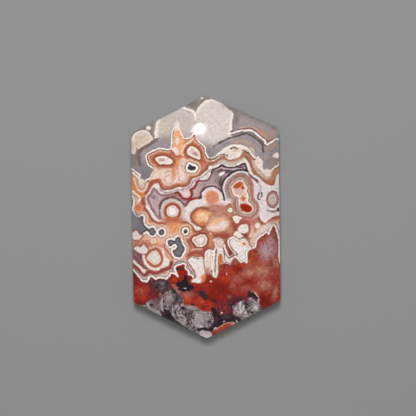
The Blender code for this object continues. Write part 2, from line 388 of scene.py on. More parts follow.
OUTER_ARC = (
    (225.6, 199.2), (225, 194.4), (223.8, 190.2), (223.7, 186.4), (225, 182.4), (227.4, 178.8),
    (230.8, 175.8), (234.8, 173.2), (239, 171.7), (243, 171.5), (246.6, 172.8), (249.2, 175.4),
)
ARCH_UNDER = (
    (230.6, 135.2), (234, 133.9), (237, 133), (240, 132), (243, 131.7), (248, 131.6), (251, 132.4),
    (254, 134), (256.5, 136), (259, 138.4), (261.5, 140.5), (263.2, 142.6), (264.4, 144.8), (265.4, 145.8),
)
LACE_SEAM = (
    (209, 158.7), (212.2, 159.4), (215.2, 158.4), (217.4, 156.5), (220.2, 154.8), (223, 154.3),
    (225.8, 154.9), (228, 156),
)
SLAB_CURL = ((231.2, 148.6), (232.6, 147.8), (234, 147.3), (235.4, 148), (237.6, 149.4))
SPOT_LINE = ((132.6, 193.3), (134.6, 194.3), (136.4, 196.1), (138.2, 198.6))
LEFT_EDGE_LINE = (
    (132.6, 196), (133.2, 203), (132.8, 208), (133.7, 211.6), (135.6, 214.9), (137.8, 216.4), (140, 216.3),
    (142, 214.9), (143.8, 215.8), (144.4, 218.6), (144.8, 222), (146.6, 225), (149, 226.8),
)
POCKET_BAND = (
    (135.6, 211.6), (137.4, 214), (139.6, 214.2), (142, 212.9), (144.8, 213.5), (147, 216.4),
    (148.6, 219.8), (151.4, 222.8), (155.4, 225.2), (160, 225.4), (165.4, 226.4), (168.4, 229.6),
    (169.4, 234),
)
MILK_SEAM = (
    (159.8, 188.8), (163, 191.8), (168.4, 192.4), (174, 190.8), (180.4, 189.6), (186.4, 188.6),
    (190.4, 186.2), (193.6, 181.4), (197.4, 178.6), (202.2, 177), (206.2, 174), (209.6, 169.8),
)
HOLLOW_LINE = ((150.4, 198.4), (151.6, 202), (153.6, 206.4), (155.6, 210.8), (157.4, 215))
UNDER_LINE = (
    (172, 271.6), (172.8, 267), (175.4, 263.4), (178.4, 261.6), (182, 261.2), (185.4, 262.2),
    (187.4, 264.8), (188.6, 268), (190.6, 271), (193.4, 273.4), (195.2, 276.4), (196, 279.4),
)
SEAM_RIGHT = (
    (223, 246.6), (224.4, 250), (226, 254), (228, 257), (230, 257.8), (232, 256.6), (234, 255.4),
    (237, 255.1),
)
WHITE_EDGE_RIGHT = ((275.6, 226), (277.4, 231.6), (278.6, 238.2), (279.4, 245), (279.2, 253), (279.6, 262))
SLAB_STEM = ((233.6, 149.4), (233.2, 151.6))
SLAB_UNDER = (
    (241.6, 150.6), (244, 150.9), (247, 152.2), (249.4, 153.9), (250.6, 156.4), (252.4, 158.4),
    (255, 159.4),
)
SLAB_FOOT = (
    (221.6, 155.8), (224.8, 156.4), (227.4, 158.6), (231, 159.3), (235.4, 158.2), (238.8, 156.6),
    (241, 154.2), (243.6, 153), (246.4, 153.2), (248.6, 155.4),
)
V_TAN = (
    (252.2, 160.2), (252.8, 165), (255.4, 169.8), (259.4, 173.8), (262.8, 177.4), (266.4, 180.4),
    (270.6, 181), (273, 177.6), (275.2, 173.6), (278.6, 170.2),
)
V_LINE = (
    (254.4, 161.4), (255, 165.4), (257.8, 168.8), (261, 171.8), (264, 174.2), (265.6, 176.2),
    (267.4, 177.6), (269, 177.6), (270.6, 176), (271.4, 173.2), (272.8, 171.2),
)
HOOK_HEAD = ((249.2, 174.2), (251.4, 176.2), (253.6, 178.2), (256.4, 180.6))
V_PALE = (
    (153.4, 167.6), (156.4, 168.6), (159.4, 171.6), (160.6, 175.4), (158.4, 178), (154.6, 179),
    (150.6, 180.4), (151.6, 177.6), (153.4, 174.4), (155, 170.8),
)
U_TAN = (
    (136.2, 178), (137.2, 182), (137.7, 184.4), (138.8, 187.5), (140.6, 189.5), (142.4, 189.5),
    (144.1, 187.6), (145, 185), (145.8, 183.2),
)
U_PINK = (
    (134.2, 178.2), (135.8, 183), (137.2, 187.4), (139.2, 190.6), (142, 191.4), (144.8, 190),
    (146.5, 186.4), (147.8, 183.6),
)
SIDE_WHITE = ((133, 172.8), (135.5, 174.8), (138, 177.6), (139.8, 180), (140.8, 183))
SIDE_AMBER = ((133.2, 179), (133.8, 184), (135.4, 188.4), (138, 191.6), (141.2, 194.6))
SIDE_RUST = (
    (143.8, 204.6), (143.2, 199), (143, 195), (145.4, 192.2), (147.6, 188.6), (149.6, 185.2),
    (152.6, 182.6), (156, 181.2), (158.8, 181.2),
)
SIDE_CREAM = (
    (131.6, 190.8), (134, 192.2), (136.6, 194.3), (139, 196.4), (140.2, 198.8), (138.8, 201.4),
    (136.4, 202.6), (133.8, 202.4),
)
GOLD_LEFT = (
    (199, 208.6), (204, 208.6), (209, 209.6), (213, 211.4), (214.2, 213.4), (212.4, 216.4), (209.8, 220),
    (207.6, 223.4), (205, 225.6), (201, 225.8), (196.4, 223.8), (193.2, 221), (191.6, 217.4),
    (192.6, 213.8), (195.6, 210.6),
)
GOLD_RIGHT = (
    (206.8, 225), (208.4, 221.6), (211, 218), (214, 215.8), (218.6, 215.6), (223.4, 215.4), (227.4, 217.8),
    (229.8, 221.6), (229.8, 225), (227.8, 228), (224.6, 230), (220, 231), (214.6, 231.2), (209.6, 230.4),
    (206.8, 228.4),
)
DRIP_CORE = (
    (218.8, 256.4), (219.8, 254.8), (220.9, 254.8), (221.6, 257.4), (221.8, 260.6), (221.2, 263),
    (219.8, 262.8), (218.9, 260),
)
RED_GAP = (
    (225.4, 240), (227.2, 243), (228, 246), (229.8, 250), (232.4, 253.4), (231.4, 255.2), (229.8, 255.2),
    (228.2, 252), (226.8, 247.6), (225.2, 243.6),
)
HEART_LINE = ((230, 240), (229.6, 244), (231, 247.4), (233.6, 250.6), (236.4, 253), (237.8, 254.6))
HEART_RIGHT = ((238.6, 239.8), (241.2, 238.5), (244, 238.2), (247, 240), (249, 243.3), (250.6, 246.6))
PALE_ARC = ((250.6, 220.8), (252.2, 225), (252.5, 229), (251.6, 233), (250.2, 236.2))
PEARL_LINE = ((248.6, 221.6), (249.8, 226), (249.8, 230.4), (248.6, 234.2))
STRIPE_ONE = (
    (250.8, 246.4), (251.2, 241.6), (252.6, 237.4), (255.6, 233.6), (259.6, 230.4), (264, 228), (268, 225),
)
STRIPE_TWO = ((253.4, 245.4), (254, 240.6), (255.8, 236.6), (259.4, 233.6), (263.6, 231.4))
RIGHT_BAND = ((171.8, 263.6), (172.4, 259.4), (170.6, 255.4), (167.6, 251.4), (165, 247.6), (164, 244.6))
CORE_RING = (
    (144, 249.6), (143.6, 254), (144.2, 259), (146.4, 263.8), (150, 267.4), (155, 269.3), (160, 268.4),
    (163.6, 265.4), (165.8, 261),
)
CREAM_STEM = ((162.4, 248.6), (163.4, 252), (164.4, 255.4), (166.6, 259.4))
ORANGE_SPIRE = (
    (175.2, 130.8), (177, 129.4), (178.8, 130.6), (180, 134), (181.6, 139.2), (184.2, 141.4),
    (187.4, 141.6), (185.6, 144), (183.4, 147.6), (181.8, 152), (179.8, 154.4), (179.4, 150.6),
    (177.4, 147.4), (174.4, 146.4), (173.8, 142), (174.2, 136),
)
LEFT_FOOT = (
    (150, 146.4), (157, 144.6), (162, 144), (168, 144), (175, 144), (178, 156), (150, 158), (143, 152),
)
CRESCENT = (
    (247.8, 295.4), (249, 291.8), (251.4, 290.8), (254.2, 293.4), (256.8, 296.2), (258, 299.6),
    (256.2, 300.4), (253.4, 297.6), (250.6, 297.4),
)
DOME_CREASE = ((194, 111.6), (195, 115), (195.7, 119.4))
POCKET_CREASE = ((137.2, 149), (136.4, 152), (136.2, 156), (136.6, 160))
DOME_HEM = ((158.4, 138.4), (155.4, 139.2), (152.2, 140.4))
TOP_PINK_LINE = (
    (239, 127.6), (246, 127), (252, 127.4), (255.5, 129.3), (259, 132.2), (262, 135), (266, 138.5),
)
PALE_ARCS = ((172.6, 284.6), (174.4, 288), (177, 291), (179, 294))
# A painted highlight along the dark crescent
CRESCENT_GLINT = ((254.6, 292.4), (256.6, 294.8), (258.2, 297.4), (259.2, 299.8))
CORNER_PATCH = (
    (161.2, 312.2), (163, 310.6), (166, 309.8), (170, 312), (172, 316), (174.4, 320), (170, 321.6),
    (165, 319.6), (161, 316),
)
BLACK_HEM = ((172, 319), (175, 321.4), (178, 324), (182, 326.4), (187, 329))
CRUST_CURL = ((179.5, 316), (183, 316), (185, 319), (183.5, 322), (181, 321))
CRUST_ARC = ((172.5, 306), (173, 311), (174, 315.5), (176.5, 319.6))
CRUST_STREAK = ((162.2, 298), (161.8, 305), (162.4, 311))
RIM_STREAK = ((147.4, 303), (150, 308), (155, 312.5), (160, 315.4))
MIST_ARC = ((206, 185.2), (209.6, 184.2), (213, 184.2), (217, 185.8), (220, 188.4))
MIST_BROW = ((216, 169.9), (221, 167.6), (226, 169.3), (232, 169.6), (239, 168.2))
MIST_CHIP = (
    (219.4, 173.2), (221.5, 172.3), (224, 171.8), (224.6, 172.6), (222.2, 175), (220.5, 175.8),
    (219.2, 174.6),
)
RED_TAIL = ((184.7, 206), (187.4, 203.8), (190, 200.6), (193.8, 199.2), (197, 198.4))
SIDE_LINE = ((266.4, 210.4), (268.6, 210.8), (271, 211.4), (274, 211.6), (276.5, 211))
GOLD_RIDGE = ((207.6, 222), (208.8, 219.8), (210.4, 217.4), (211.9, 215.2), (213.2, 213.4))
OVAL_LINE = ((170.6, 150.2), (173, 152.4), (174.8, 155.2), (177.2, 156.4), (179.4, 155.2))
LEFT_CURL = (
    (165, 173.6), (167.4, 171.2), (170.2, 171.4), (171.8, 173.4), (169.6, 175.4), (166, 176.4),
    (164.8, 179.4), (166.2, 182.6), (169, 183.6), (171.8, 182), (172.4, 178.6),
)
RIGHT_CURL = (
    (179.2, 170.4), (178, 173.8), (178.6, 178.4), (180.8, 181.4), (183.8, 181.4), (186, 178.4),
    (186, 174.6),
)
SMALL_CURL = ((181.6, 161.2), (180.8, 164), (182.2, 167))
PATCH_LEFT = ((164.4, 225.2), (167, 228), (169.6, 231.2), (171.6, 234.6), (174.4, 236.2))
PATCH_RIGHT = ((182.6, 225.4), (180.2, 228.4), (178.4, 231.6), (177, 235))
RED_LAYER = ((188, 255.4), (194, 252.8), (200, 252.8), (204.6, 254.4))
PALE_LAYER = ((191, 250.2), (196, 249.4), (202, 249.2))
WEDGE_LINE = ((135.4, 255), (138.6, 259), (141.6, 263.4))
WEDGE_TOP = ((134, 252.6), (138, 256))
END_BAND = ((267.6, 222.4), (270, 220.4), (273, 218.4), (276, 217.2), (279.6, 216.6))
DRIP_SEAM = ((215.2, 272), (215.4, 262), (216, 254), (216.8, 249.4))
DRIP_FOLD = ((223.8, 261), (224.4, 256), (224, 250.6), (222.4, 247))
DRIP_ONE_LINE = ((192.4, 257.4), (195, 257.8), (197, 259.2), (199.6, 258.2), (202.6, 259))
DOME_RIM = ((156.8, 137.4), (156, 133.4), (157, 128.6), (157.4, 124.4), (159.4, 121))
ARCH_PALE = (
    (192.6, 138.8), (190.4, 141.4), (187.4, 143.2), (184.6, 145.6), (182.6, 148.8), (181.8, 152.6),
    (183.2, 155.4),
)
TAN_ARC = ((236, 142.8), (240, 141.4), (245, 141.6), (249.4, 143.6), (252.4, 146.4))
CREAM_ARC = ((250.6, 147.6), (252.8, 150.4), (254, 153.4), (254.2, 156.4))
ARCH_START = ((213.6, 147.2), (216.4, 144.8), (219.6, 142.8), (223, 141))
HOOK_LEFT = ((258.9, 192.4), (258.2, 195), (257.8, 197.6), (258.7, 199.2), (260.4, 199.8))
HOOK_RIGHT = ((261.6, 192.5), (262, 195), (261.2, 197.4))
BLOT = (
    (200.2, 292.4), (203.2, 291.8), (205.2, 293.8), (206.8, 297.2), (206, 299.4), (204.2, 299.4),
    (202, 296.6), (200.4, 294.4),
)
SMOKE_PATCH = (
    (149.6, 281.4), (153.6, 279.6), (160, 279.2), (166.4, 280), (168.8, 283.4), (169, 288.4),
    (165.6, 291.6), (160, 292.6), (154.8, 290.4), (150.8, 286.6),
)
GREY_DUSK = (
    (172.6, 288.6), (176, 291.6), (180.4, 294.6), (181.8, 299), (181.2, 303.8), (178.2, 304.6),
    (175.8, 301.6), (174.6, 296.6), (172.4, 292.6),
)
TIP_SEAM = ((198.6, 329.4), (202.4, 328.8), (207, 329.6), (212, 329.2))
ARCH_RUST = ((195.2, 137.6), (191.6, 139.4), (187.6, 140.8), (184.4, 142.8))
ORB_FLANK = (
    (249, 178), (251, 184), (251.6, 190), (251.4, 196), (253, 200), (256.2, 204), (257.2, 209),
    (255.6, 213.4), (251, 216.2), (244, 216), (239, 213.4), (236, 209), (234.8, 204),
)

# Long open lines
TOP_WHITE_LINE = (
    (229.5, 133.6), (232, 133.2), (234.5, 132.4), (237, 131.6), (239.5, 131), (242, 130.3), (246, 130.4),
    (250, 130.3), (252.5, 131.3), (255, 132.8), (257.5, 134.6), (260, 137.2), (262.5, 139.2), (264.4, 141),
    (265.4, 143.2), (266.8, 144.3), (269.4, 143.2), (272, 141.4), (274.4, 139.7), (277, 138.9),
    (280, 139.9),
)
TOP_DARK_LINE = (
    (231, 131.7), (235.5, 131.5), (237.6, 130.2), (240, 129.4), (244, 128.4), (248, 128.3), (252, 128.8),
    (255, 130.4), (258, 133), (261, 136), (264, 138.6), (266.5, 141), (267.6, 141.8), (270, 140.5),
    (273, 138.9),
)
ARCH_LINE = (
    (219, 143.2), (222.4, 141.2), (226, 139.9), (229, 138.6), (231, 137.9), (235, 136.7), (238, 135.7),
    (240.5, 134.7), (242.8, 133.9), (245.6, 133.6), (248, 134.3), (250.4, 135.3), (253, 136.5),
    (255.5, 138.2), (257, 139.4), (259.2, 140.8), (261, 142.5), (262, 144.6), (262.6, 147), (263.2, 149.6),
    (263.5, 151.6),
)
BROWN_ARC = (
    (157, 138.6), (154.6, 140.6), (151, 143.4), (146, 146.2), (141.8, 148.8), (139.4, 151.8), (138.9, 156),
    (139.4, 160.4), (140.2, 165),
)
BLACK_LINE = (
    (211.4, 172.6), (212.2, 169.4), (215.6, 168.4), (218.8, 167.2), (222, 165), (225.2, 166.8),
    (229.6, 167.8), (234.2, 167.1), (238.6, 166), (243.8, 163.2), (245.8, 165.4), (247, 169.4),
    (248.4, 172.4),
)
BLACK_ARC = (
    (247.6, 171.2), (243, 169.9), (238.4, 170.2), (233.8, 171.8), (229.6, 174.6), (226, 177.8),
    (223.4, 181.8), (221.9, 186), (221.8, 190.2), (223.4, 194.4), (224.3, 199.6),
)
ORB_LINE = (
    (221.9, 191.6), (219.2, 188.8), (216, 186.9), (212, 186.1), (208, 186.7), (204.6, 188.6),
    (202.2, 191.6), (201.1, 195.2), (200.5, 198), (196.4, 198.4), (192.2, 199.5), (189, 201.3),
    (186.8, 204.2), (184.7, 206), (182.4, 203.6), (179.2, 200.4), (175.2, 198.3), (171, 197.7),
    (166.6, 198.8), (163.2, 200.8), (160.9, 204), (160.3, 208.2), (161, 213.2), (161.8, 217.6),
)
RED_LINE = (
    (199.2, 180.2), (196.8, 182.4), (195.4, 185.6), (193.2, 188.2), (190.4, 189.9), (191.7, 192.2),
    (191.5, 195.4), (189.6, 198), (186.6, 199), (183.2, 198), (180.6, 195.4), (178.4, 192.9),
    (175.4, 192.9),
)
PURPLE_LINE = (
    (175, 193.6), (170, 194.9), (165, 195.4), (160.6, 194.7), (157.4, 192.2), (154.8, 189.4),
    (152.6, 191.6), (150.6, 195), (148.2, 197), (148.4, 201), (150.2, 205.4), (152.8, 210.2),
    (155.8, 214.8), (158.8, 217.8),
)
WHITE_LINE_LEFT = (
    (131.6, 258.6), (133.4, 261), (136, 263.6), (139.2, 266.2), (141.8, 269.2), (144.2, 272.2),
    (144.9, 270.6),
)
RED_BAND = (
    (131, 263.4), (135, 266.4), (138.6, 269.6), (141.8, 273), (144.8, 274.8), (147.8, 272.8), (151, 271.8),
    (155, 273.2), (159.4, 272.2), (163.4, 269.8), (167.2, 268.6), (170.4, 266.8), (171.4, 262.6),
)
HOOK = ((258.4, 182.4), (260.2, 185.8), (260.6, 189), (260, 191.8))
# Along these sides and round the bottom tip the colour is painted paler, standing in for light on the
# shoulder
PAINTED_LIGHT_SIDES = (
    (131, 134), (131.4, 160), (132.4, 217), (133.8, 301), (170, 320), (206.6, 338), (243, 319.6),
    (280.6, 299.8), (280.4, 260), (280, 214), (279.6, 130),
)
TOP_RIM = ((226, 103.6), (242, 111), (258, 118.4), (274, 125.4), (279.4, 130), (279.6, 138))
DOME_CORNER = ((182.6, 107.6), (185.6, 108.6), (189.4, 110), (192.6, 111.6), (194.4, 113.6))
DOME_UNDER = ((180, 109.4), (184, 110.2), (188.6, 112), (192.4, 114))
PALE_THREAD = ((222.4, 167.6), (226.4, 169), (231, 169), (235.4, 168.2), (238.4, 168.6), (241.4, 168.4))
BELT_BROWN = (
    (208, 163.6), (212, 162.8), (216, 161.4), (219, 159.2), (222, 157.8), (225, 158.2), (228, 159.6),
    (233, 160), (237, 158.6), (240, 156.8), (243, 155.2), (246, 155.8), (248.6, 158.2), (250.6, 161.4),
    (251.2, 165), (252, 168.6), (254, 171.8), (257, 174.8), (260, 177.4), (263.6, 180), (266.8, 182),
)
BELT_BEIGE = (
    (218.6, 162.4), (222.2, 160.8), (226, 161.6), (231, 162.8), (236, 161.8), (240, 160), (243.6, 158.4),
)
BELT_OUTSIDE = ((252.6, 160.6), (254.4, 164.6), (256, 168.8), (259, 172.6), (262.6, 175.8), (266.4, 178.4))
BELT_GREY = (
    (212.6, 166), (216.4, 164.6), (219.4, 163.2), (222.6, 162.6), (226.6, 164), (231.6, 164.8),
    (236.4, 164),
)

# Every mark is (name, kind, shapes, bands). An area's field is the distance to its edge in pixels, less
# than nothing inside. A line is (points, half width) and its field the distance past its own edge. An
# ellipse is (x, y, half width, half height, tilt in degrees), and no tilt where none is given. A spot's
# field is the distance past its ellipse, and a glow's is its share of the ellipse, less one. The bands
# are (field, colour, strength), from the inside out, at full strength where none is given.
HAZE_MARKS = (
    ("haze_brown", "glow", ((150, 122, 12, 10), (272, 134, 12, 8), (133, 156, 6, 12)),
     ((-0.5, TAUPE), (0.3, TAUPE, 0))),
    ("haze_mist", "glow", ((254, 122, 30, 9, 25),), ((-0.6, (162, 151, 150)), (0.3, (158, 147, 147), 0))),
    ("haze_mauve", "glow", ((208, 141, 15, 9), (163, 140, 12, 5), (150, 157, 4, 10)),
     ((-0.8, MAUVE, 0.5), (0.2, MAUVE, 0))),
    ("haze_shade", "glow", ((192, 105, 9, 6, -20), (153, 128, 5, 8, 20), (235.4, 117, 4.6, 10)),
     ((-0.6, (128, 114, 106), 0.9), (0.3, TAUPE, 0))),
    ("domes", "area", (DOME_MIDDLE, DOME_RIGHT),
     ((-7, (216, 202, 197)), (-4, (219, 205, 198)), (-2.4, (224, 211, 203)), (-1.6, (240, 229, 221)),
     (-0.3, (238, 228, 219)), (0.4, (140, 127, 122)), (2, (143, 131, 126), 0.8), (4, TAUPE, 0))),
    ("dome_shade", "glow", ((177, 126, 24, 17, -20), (186, 122, 14, 12)),
     ((-0.6, (192, 177, 172), 0.75), (0.2, (200, 186, 180), 0))),
    ("dome_cream", "glow", ((163, 127, 7, 12, 12),),
     ((-0.5, (207, 190, 177), 0.85), (0.4, (204, 188, 178), 0))),
    ("dome_low", "glow", ((168, 139.5, 9, 6), (190, 138, 7, 8)),
     ((-0.6, (168, 154, 152), 0.85), (0.5, (178, 164, 160), 0))),
    ("dome_rim", "line", ((DOME_RIM, 0.6),), ((0, (240, 228, 219)), (1.6, (222, 208, 200), 0))),
    ("spire_halo", "glow", ((176.8, 126, 3, 5.6),), ((-0.6, (236, 225, 218)), (0.4, (206, 192, 187), 0))),
    ("dome_streak", "line", ((DOME_CREASE, 0.3), (DOME_CORNER, 0.7)),
     ((0, (244, 233, 226)), (1.3, (220, 206, 200), 0))),
    ("dome_under", "line", ((DOME_UNDER, 0.2),), ((0, (168, 146, 136), 0.7), (0.9, (206, 192, 186), 0))),
    ("haze_low", "area", (ARCH_FOOT, LEFT_FOOT),
     ((-4, (152, 142, 145)), (-0.5, (160, 149, 151), 0.8), (5.5, (176, 164, 163), 0))),
    ("dome_left", "area", (DOME_LEFT,),
     ((-9, (212, 186, 168)), (-4, (215, 192, 176)), (-1.8, (220, 201, 187)), (-1.2, (232, 218, 206)),
     (-0.2, (230, 217, 206)), (0.5, (137, 124, 116)), (1.8, (141, 129, 122), 0.8), (3, TAUPE, 0))),
    ("dome_foot", "glow", ((163, 142.6, 10, 4.6, -4), (147, 148.4, 8, 2.6, -22)),
     ((-0.6, (156, 143, 146)), (0.4, GREY, 0))),
    ("haze_dark", "glow",
     ((147, 175, 10, 8), (266.9, 152.8, 1, 2.4, 10), (226, 143.5, 6, 1.4, -24), (133, 160, 3, 7),
     (262.4, 166, 1.6, 5), (209, 152, 4, 5), (275, 129, 4, 2.4, 30)),
     ((-0.8, ASH, 0.75), (0.3, ASH, 0))),
    ("haze_fringe", "line", ((TOP_RIM, 1),), ((-0.6, (132, 119, 114), 0.9), (6, (146, 136, 134), 0))),
    ("haze_rust", "glow", ((262, 132.8, 7.4, 3, 42), (270.6, 138.6, 5, 2, -30)),
     ((-0.6, (187, 142, 117), 0.95), (0.3, (170, 134, 120), 0))),
    ("haze_pink", "glow", ((272, 146.4, 8.4, 3.2, -16), (271.6, 134.4, 4, 5.4, 20), (131, 145, 2, 8)),
     ((-0.6, (171, 141, 132), 0.85), (0.3, TAUPE, 0))),
    ("haze_tan", "line", ((TAN_ARC, 1.4),),
     ((-1, (182, 154, 138), 0.9), (0.6, (176, 152, 140), 0.6), (2.2, FAWN, 0))),
    ("haze_cream", "line", ((CREAM_ARC, 0.7),), ((-0.4, (216, 202, 184), 0.95), (1.2, (196, 176, 158), 0))),
    ("haze_fawn", "glow", ((251.4, 145.6, 1.6, 1.8), (273, 160.4, 3.4, 5), (271, 166.6, 2.8, 2.4)),
     ((-0.6, (162, 136, 118), 0.9), (0.3, TAUPE, 0))),
    ("haze_light", "glow", ((144.5, 156, 1.8, 7.5), (258, 150, 2.2, 7, -14)),
     ((-0.6, (168, 156, 158), 0.85), (0.3, GREY, 0))),
    ("haze_brown_line", "line", ((BROWN_ARC, 0.7),),
     ((-0.2, (118, 96, 86), 0.9), (0.7, (130, 109, 101), 0.7), (2, (142, 126, 122), 0))),
    ("haze_soft_line", "line", ((POCKET_CREASE, 0.6), (DOME_HEM, 0.3)),
     ((-0.2, (140, 118, 106), 0.9), (0.9, TAUPE, 0))),
    ("haze_arch_start", "line", ((ARCH_START, 0.5),), ((-0.2, (122, 108, 106), 0.8), (1.6, SMOKE, 0))),
    ("haze_arch", "line", ((ARCH_LINE, 0.6), (ARCH_UNDER, 0.25)), ((-0.2, (88, 74, 70)), (1, SMOKE, 0))),
    ("haze_dark_line", "line", ((TOP_DARK_LINE, 0.45),),
     ((-0.1, (122, 80, 75)), (0.8, (150, 110, 104), 0))),
    ("haze_pink_line", "line", ((TOP_PINK_LINE, 0.2),), ((0, (202, 163, 148), 0.9), (1, TAUPE, 0))),
    ("haze_white_line", "line", ((TOP_WHITE_LINE, 0.55),), ((-0.1, (252, 238, 230)), (0.7, BLUSH, 0))),
    ("haze_chips", "area", (SMALL_WHITE, KNOB),
     ((-0.6, (242, 230, 222)), (0.3, (228, 214, 204)), (0.9, TAUPE, 0))),
    ("haze_points", "spot",
     ((156.2, 137.5, 1.6, 0.5, -18), (152.5, 139.4, 1, 0.5), (195, 116, 0.5, 3.4, -8),
     (201.8, 97.8, 0.8, 0.6)),
     ((0, WHITE), (0.7, CREAM, 0))),
)

JASPER_CLOUDS = (
    ("cloud_deep", "glow",
     ((222, 288, 11, 14), (216, 268, 6, 8), (196, 281, 14, 5), (140, 303, 9, 4, 30), (134, 274, 4, 6),
     (212, 300, 12, 5), (240, 268, 8, 5), (263, 300, 7, 8)),
     ((-0.7, (118, 20, 12), 0.9), (0.4, BLOOD, 0))),
    ("cloud_orange", "glow",
     ((229, 271, 6, 5), (147, 284.6, 3.6, 4), (205, 288, 12, 5), (174, 279, 4, 3), (205, 304, 12, 4, 10),
     (144, 297, 3, 6), (214, 308.4, 9, 2.6, 12), (243, 265, 8, 3.4), (224, 279, 9, 6)),
     ((-0.7, (182, 56, 28), 0.85), (0.4, SCARLET, 0))),
    ("cloud_maroon", "glow",
     ((153, 294, 7, 8), (151, 300, 6, 3), (226, 306, 11, 9, -30), (240, 299, 10, 5), (134, 284, 2, 5)),
     ((-0.6, (112, 34, 40), 0.95), (0.35, (124, 38, 36), 0))),
    ("cloud_violet", "glow",
     ((231, 303, 5, 7, 20), (229, 296, 4, 3), (149, 283.6, 5, 3), (222, 309.6, 5, 3), (241, 297.6, 6, 2),
     (198, 290.6, 8, 3)),
     ((-0.6, (100, 40, 46), 0.85), (0.4, (116, 42, 44), 0))),
    ("cloud_dark", "glow", ((232.6, 306, 3.4, 11, 8), (238, 300, 7, 2.6, -8), (133.4, 274, 2, 6)),
     ((-0.6, (70, 32, 42), 0.9), (0.4, (96, 36, 42), 0))),
    ("cloud_red", "glow", ((184, 271, 7, 9), (197, 286, 8, 4)),
     ((-0.6, (158, 26, 14), 0.85), (0.4, (150, 32, 20), 0))),
    ("cloud_blood", "glow", ((215, 288.6, 11, 8), (213, 279, 5, 5)),
     ((-0.6, (126, 26, 14), 0.75), (0.5, (136, 30, 18), 0))),
    ("cloud_rosy", "glow",
     ((139.6, 291.4, 6, 5), (238, 279, 10, 7), (246, 288, 11, 5), (233, 285, 5, 7), (254, 294, 6, 4)),
     ((-0.7, (166, 82, 72), 0.85), (0.4, (162, 62, 48), 0))),
    ("cloud_glow", "glow", ((139.4, 291, 3.4, 3), (186.5, 298, 5, 6), (200.6, 300, 4, 3)),
     ((-0.6, (186, 78, 50), 0.75), (0.5, (166, 54, 32), 0))),
    ("cloud_haze", "glow",
     ((262, 271, 14, 9), (266, 285, 9, 7), (275.6, 291, 3, 10, 10), (250, 272, 8, 6), (276, 262, 4, 8)),
     ((-0.7, (180, 118, 98), 0.9), (0.5, (168, 84, 66), 0))),
    ("cloud_lilac", "glow", ((267, 249.4, 8.6, 11.4, 12), (271, 240, 4, 6)),
     ((-0.7, (180, 148, 152), 0.92), (-0.1, (172, 122, 122), 0.75), (0.6, (166, 92, 80), 0))),
    ("cloud_spire", "glow", ((271.4, 233, 5, 7), (262, 239.6, 5, 3.4, -20)),
     ((-0.6, (160, 92, 82), 0.9), (0.3, (160, 72, 58), 0))),
    ("cloud_rust", "glow",
     ((252.6, 256, 4, 7, 20), (251, 262, 4, 3), (261.6, 240.4, 2.6, 2.4), (258, 263, 6, 3)),
     ((-0.6, (178, 84, 50), 0.9), (0.4, (165, 74, 54), 0))),
    ("cloud_brown", "glow",
     ((187, 293.6, 7, 3, 14), (229.2, 296.8, 2.2, 1.8), (235.5, 262.6, 2.6, 3), (179, 291, 4, 3, 20),
     (176, 286.6, 3.4, 3.2, 40)),
     ((-0.6, (158, 96, 82), 0.85), (0.4, (156, 76, 58), 0))),
)

JASPER_MARKS = (
    ("jasper_specks", "spot",
     ((261.4, 240.8, 0.8, 0.6), (256, 251.4, 0.7, 0.5, 30), (259, 255.6, 0.6, 0.6), (253.4, 260, 0.7, 0.5),
     (263.6, 243.4, 0.5, 0.6), (251.4, 254.4, 0.6, 0.8), (242, 270.6, 0.6, 0.5), (240.4, 288, 0.6, 0.6)),
     ((-0.2, (104, 44, 34), 0.9), (1, (130, 50, 38), 0))),
    ("jasper_streak", "glow", ((226.8, 268, 1.6, 6, 10), (231, 264, 2.5, 4, 20)),
     ((-0.6, (128, 76, 80), 0.8), (0.4, (138, 62, 60), 0))),
    ("jasper_arcs", "line", ((PALE_ARCS, 0.2),), ((0, (176, 128, 118), 0.7), (1.2, (150, 80, 70), 0))),
    ("knob_eye", "spot", ((179.4, 269.2, 2, 1),),
     ((-0.7, (78, 74, 70)), (0, (70, 50, 50)), (0.8, (62, 18, 20)), (1.6, (110, 22, 18), 0))),
    ("jasper_dark", "area", (CRESCENT,), ((-1, (44, 30, 38)), (0.2, (58, 34, 40)), (1.4, (96, 34, 38), 0))),
    # Painted highlight: a pale line along the dark crescent
    ("crescent_glint", "line", ((CRESCENT_GLINT, 0.3),), ((0, (206, 158, 160)), (1, (150, 90, 90), 0))),
    ("black", "area", (BLACK_PATCH,), ((-0.6, (34, 24, 32)), (0.3, (50, 30, 38)), (1.4, WINE, 0))),
    ("blot", "area", (BLOT,), ((-1, (46, 40, 50)), (0.2, (54, 36, 44)), (1.4, (96, 34, 32), 0))),
    ("jasper_spots", "spot",
     ((192.6, 304.8, 2, 1.2, 20), (214.5, 301, 2, 0.8, 30), (205, 305.8, 5, 0.4, 4)),
     ((-0.3, (42, 28, 36)), (1.2, (96, 34, 32), 0))),
    ("jasper_pink", "spot", ((226.8, 273.8, 0.5, 1), (252, 291.4, 0.7, 0.4)),
     ((-0.2, (204, 136, 124)), (1, (170, 80, 66), 0))),
    ("jasper_glint", "spot", ((184.2, 288.4, 0.6, 0.25, 8),),
     ((0, (248, 244, 246)), (0.8, (80, 66, 74), 0))),
    ("jasper_drops", "spot", ((211, 281.5, 0.9, 0.9), (258.2, 301.4, 0.6, 1.4), (221.6, 313, 0.7, 0.6)),
     ((-0.2, (232, 210, 204)), (0.9, (200, 120, 100), 0))),
)

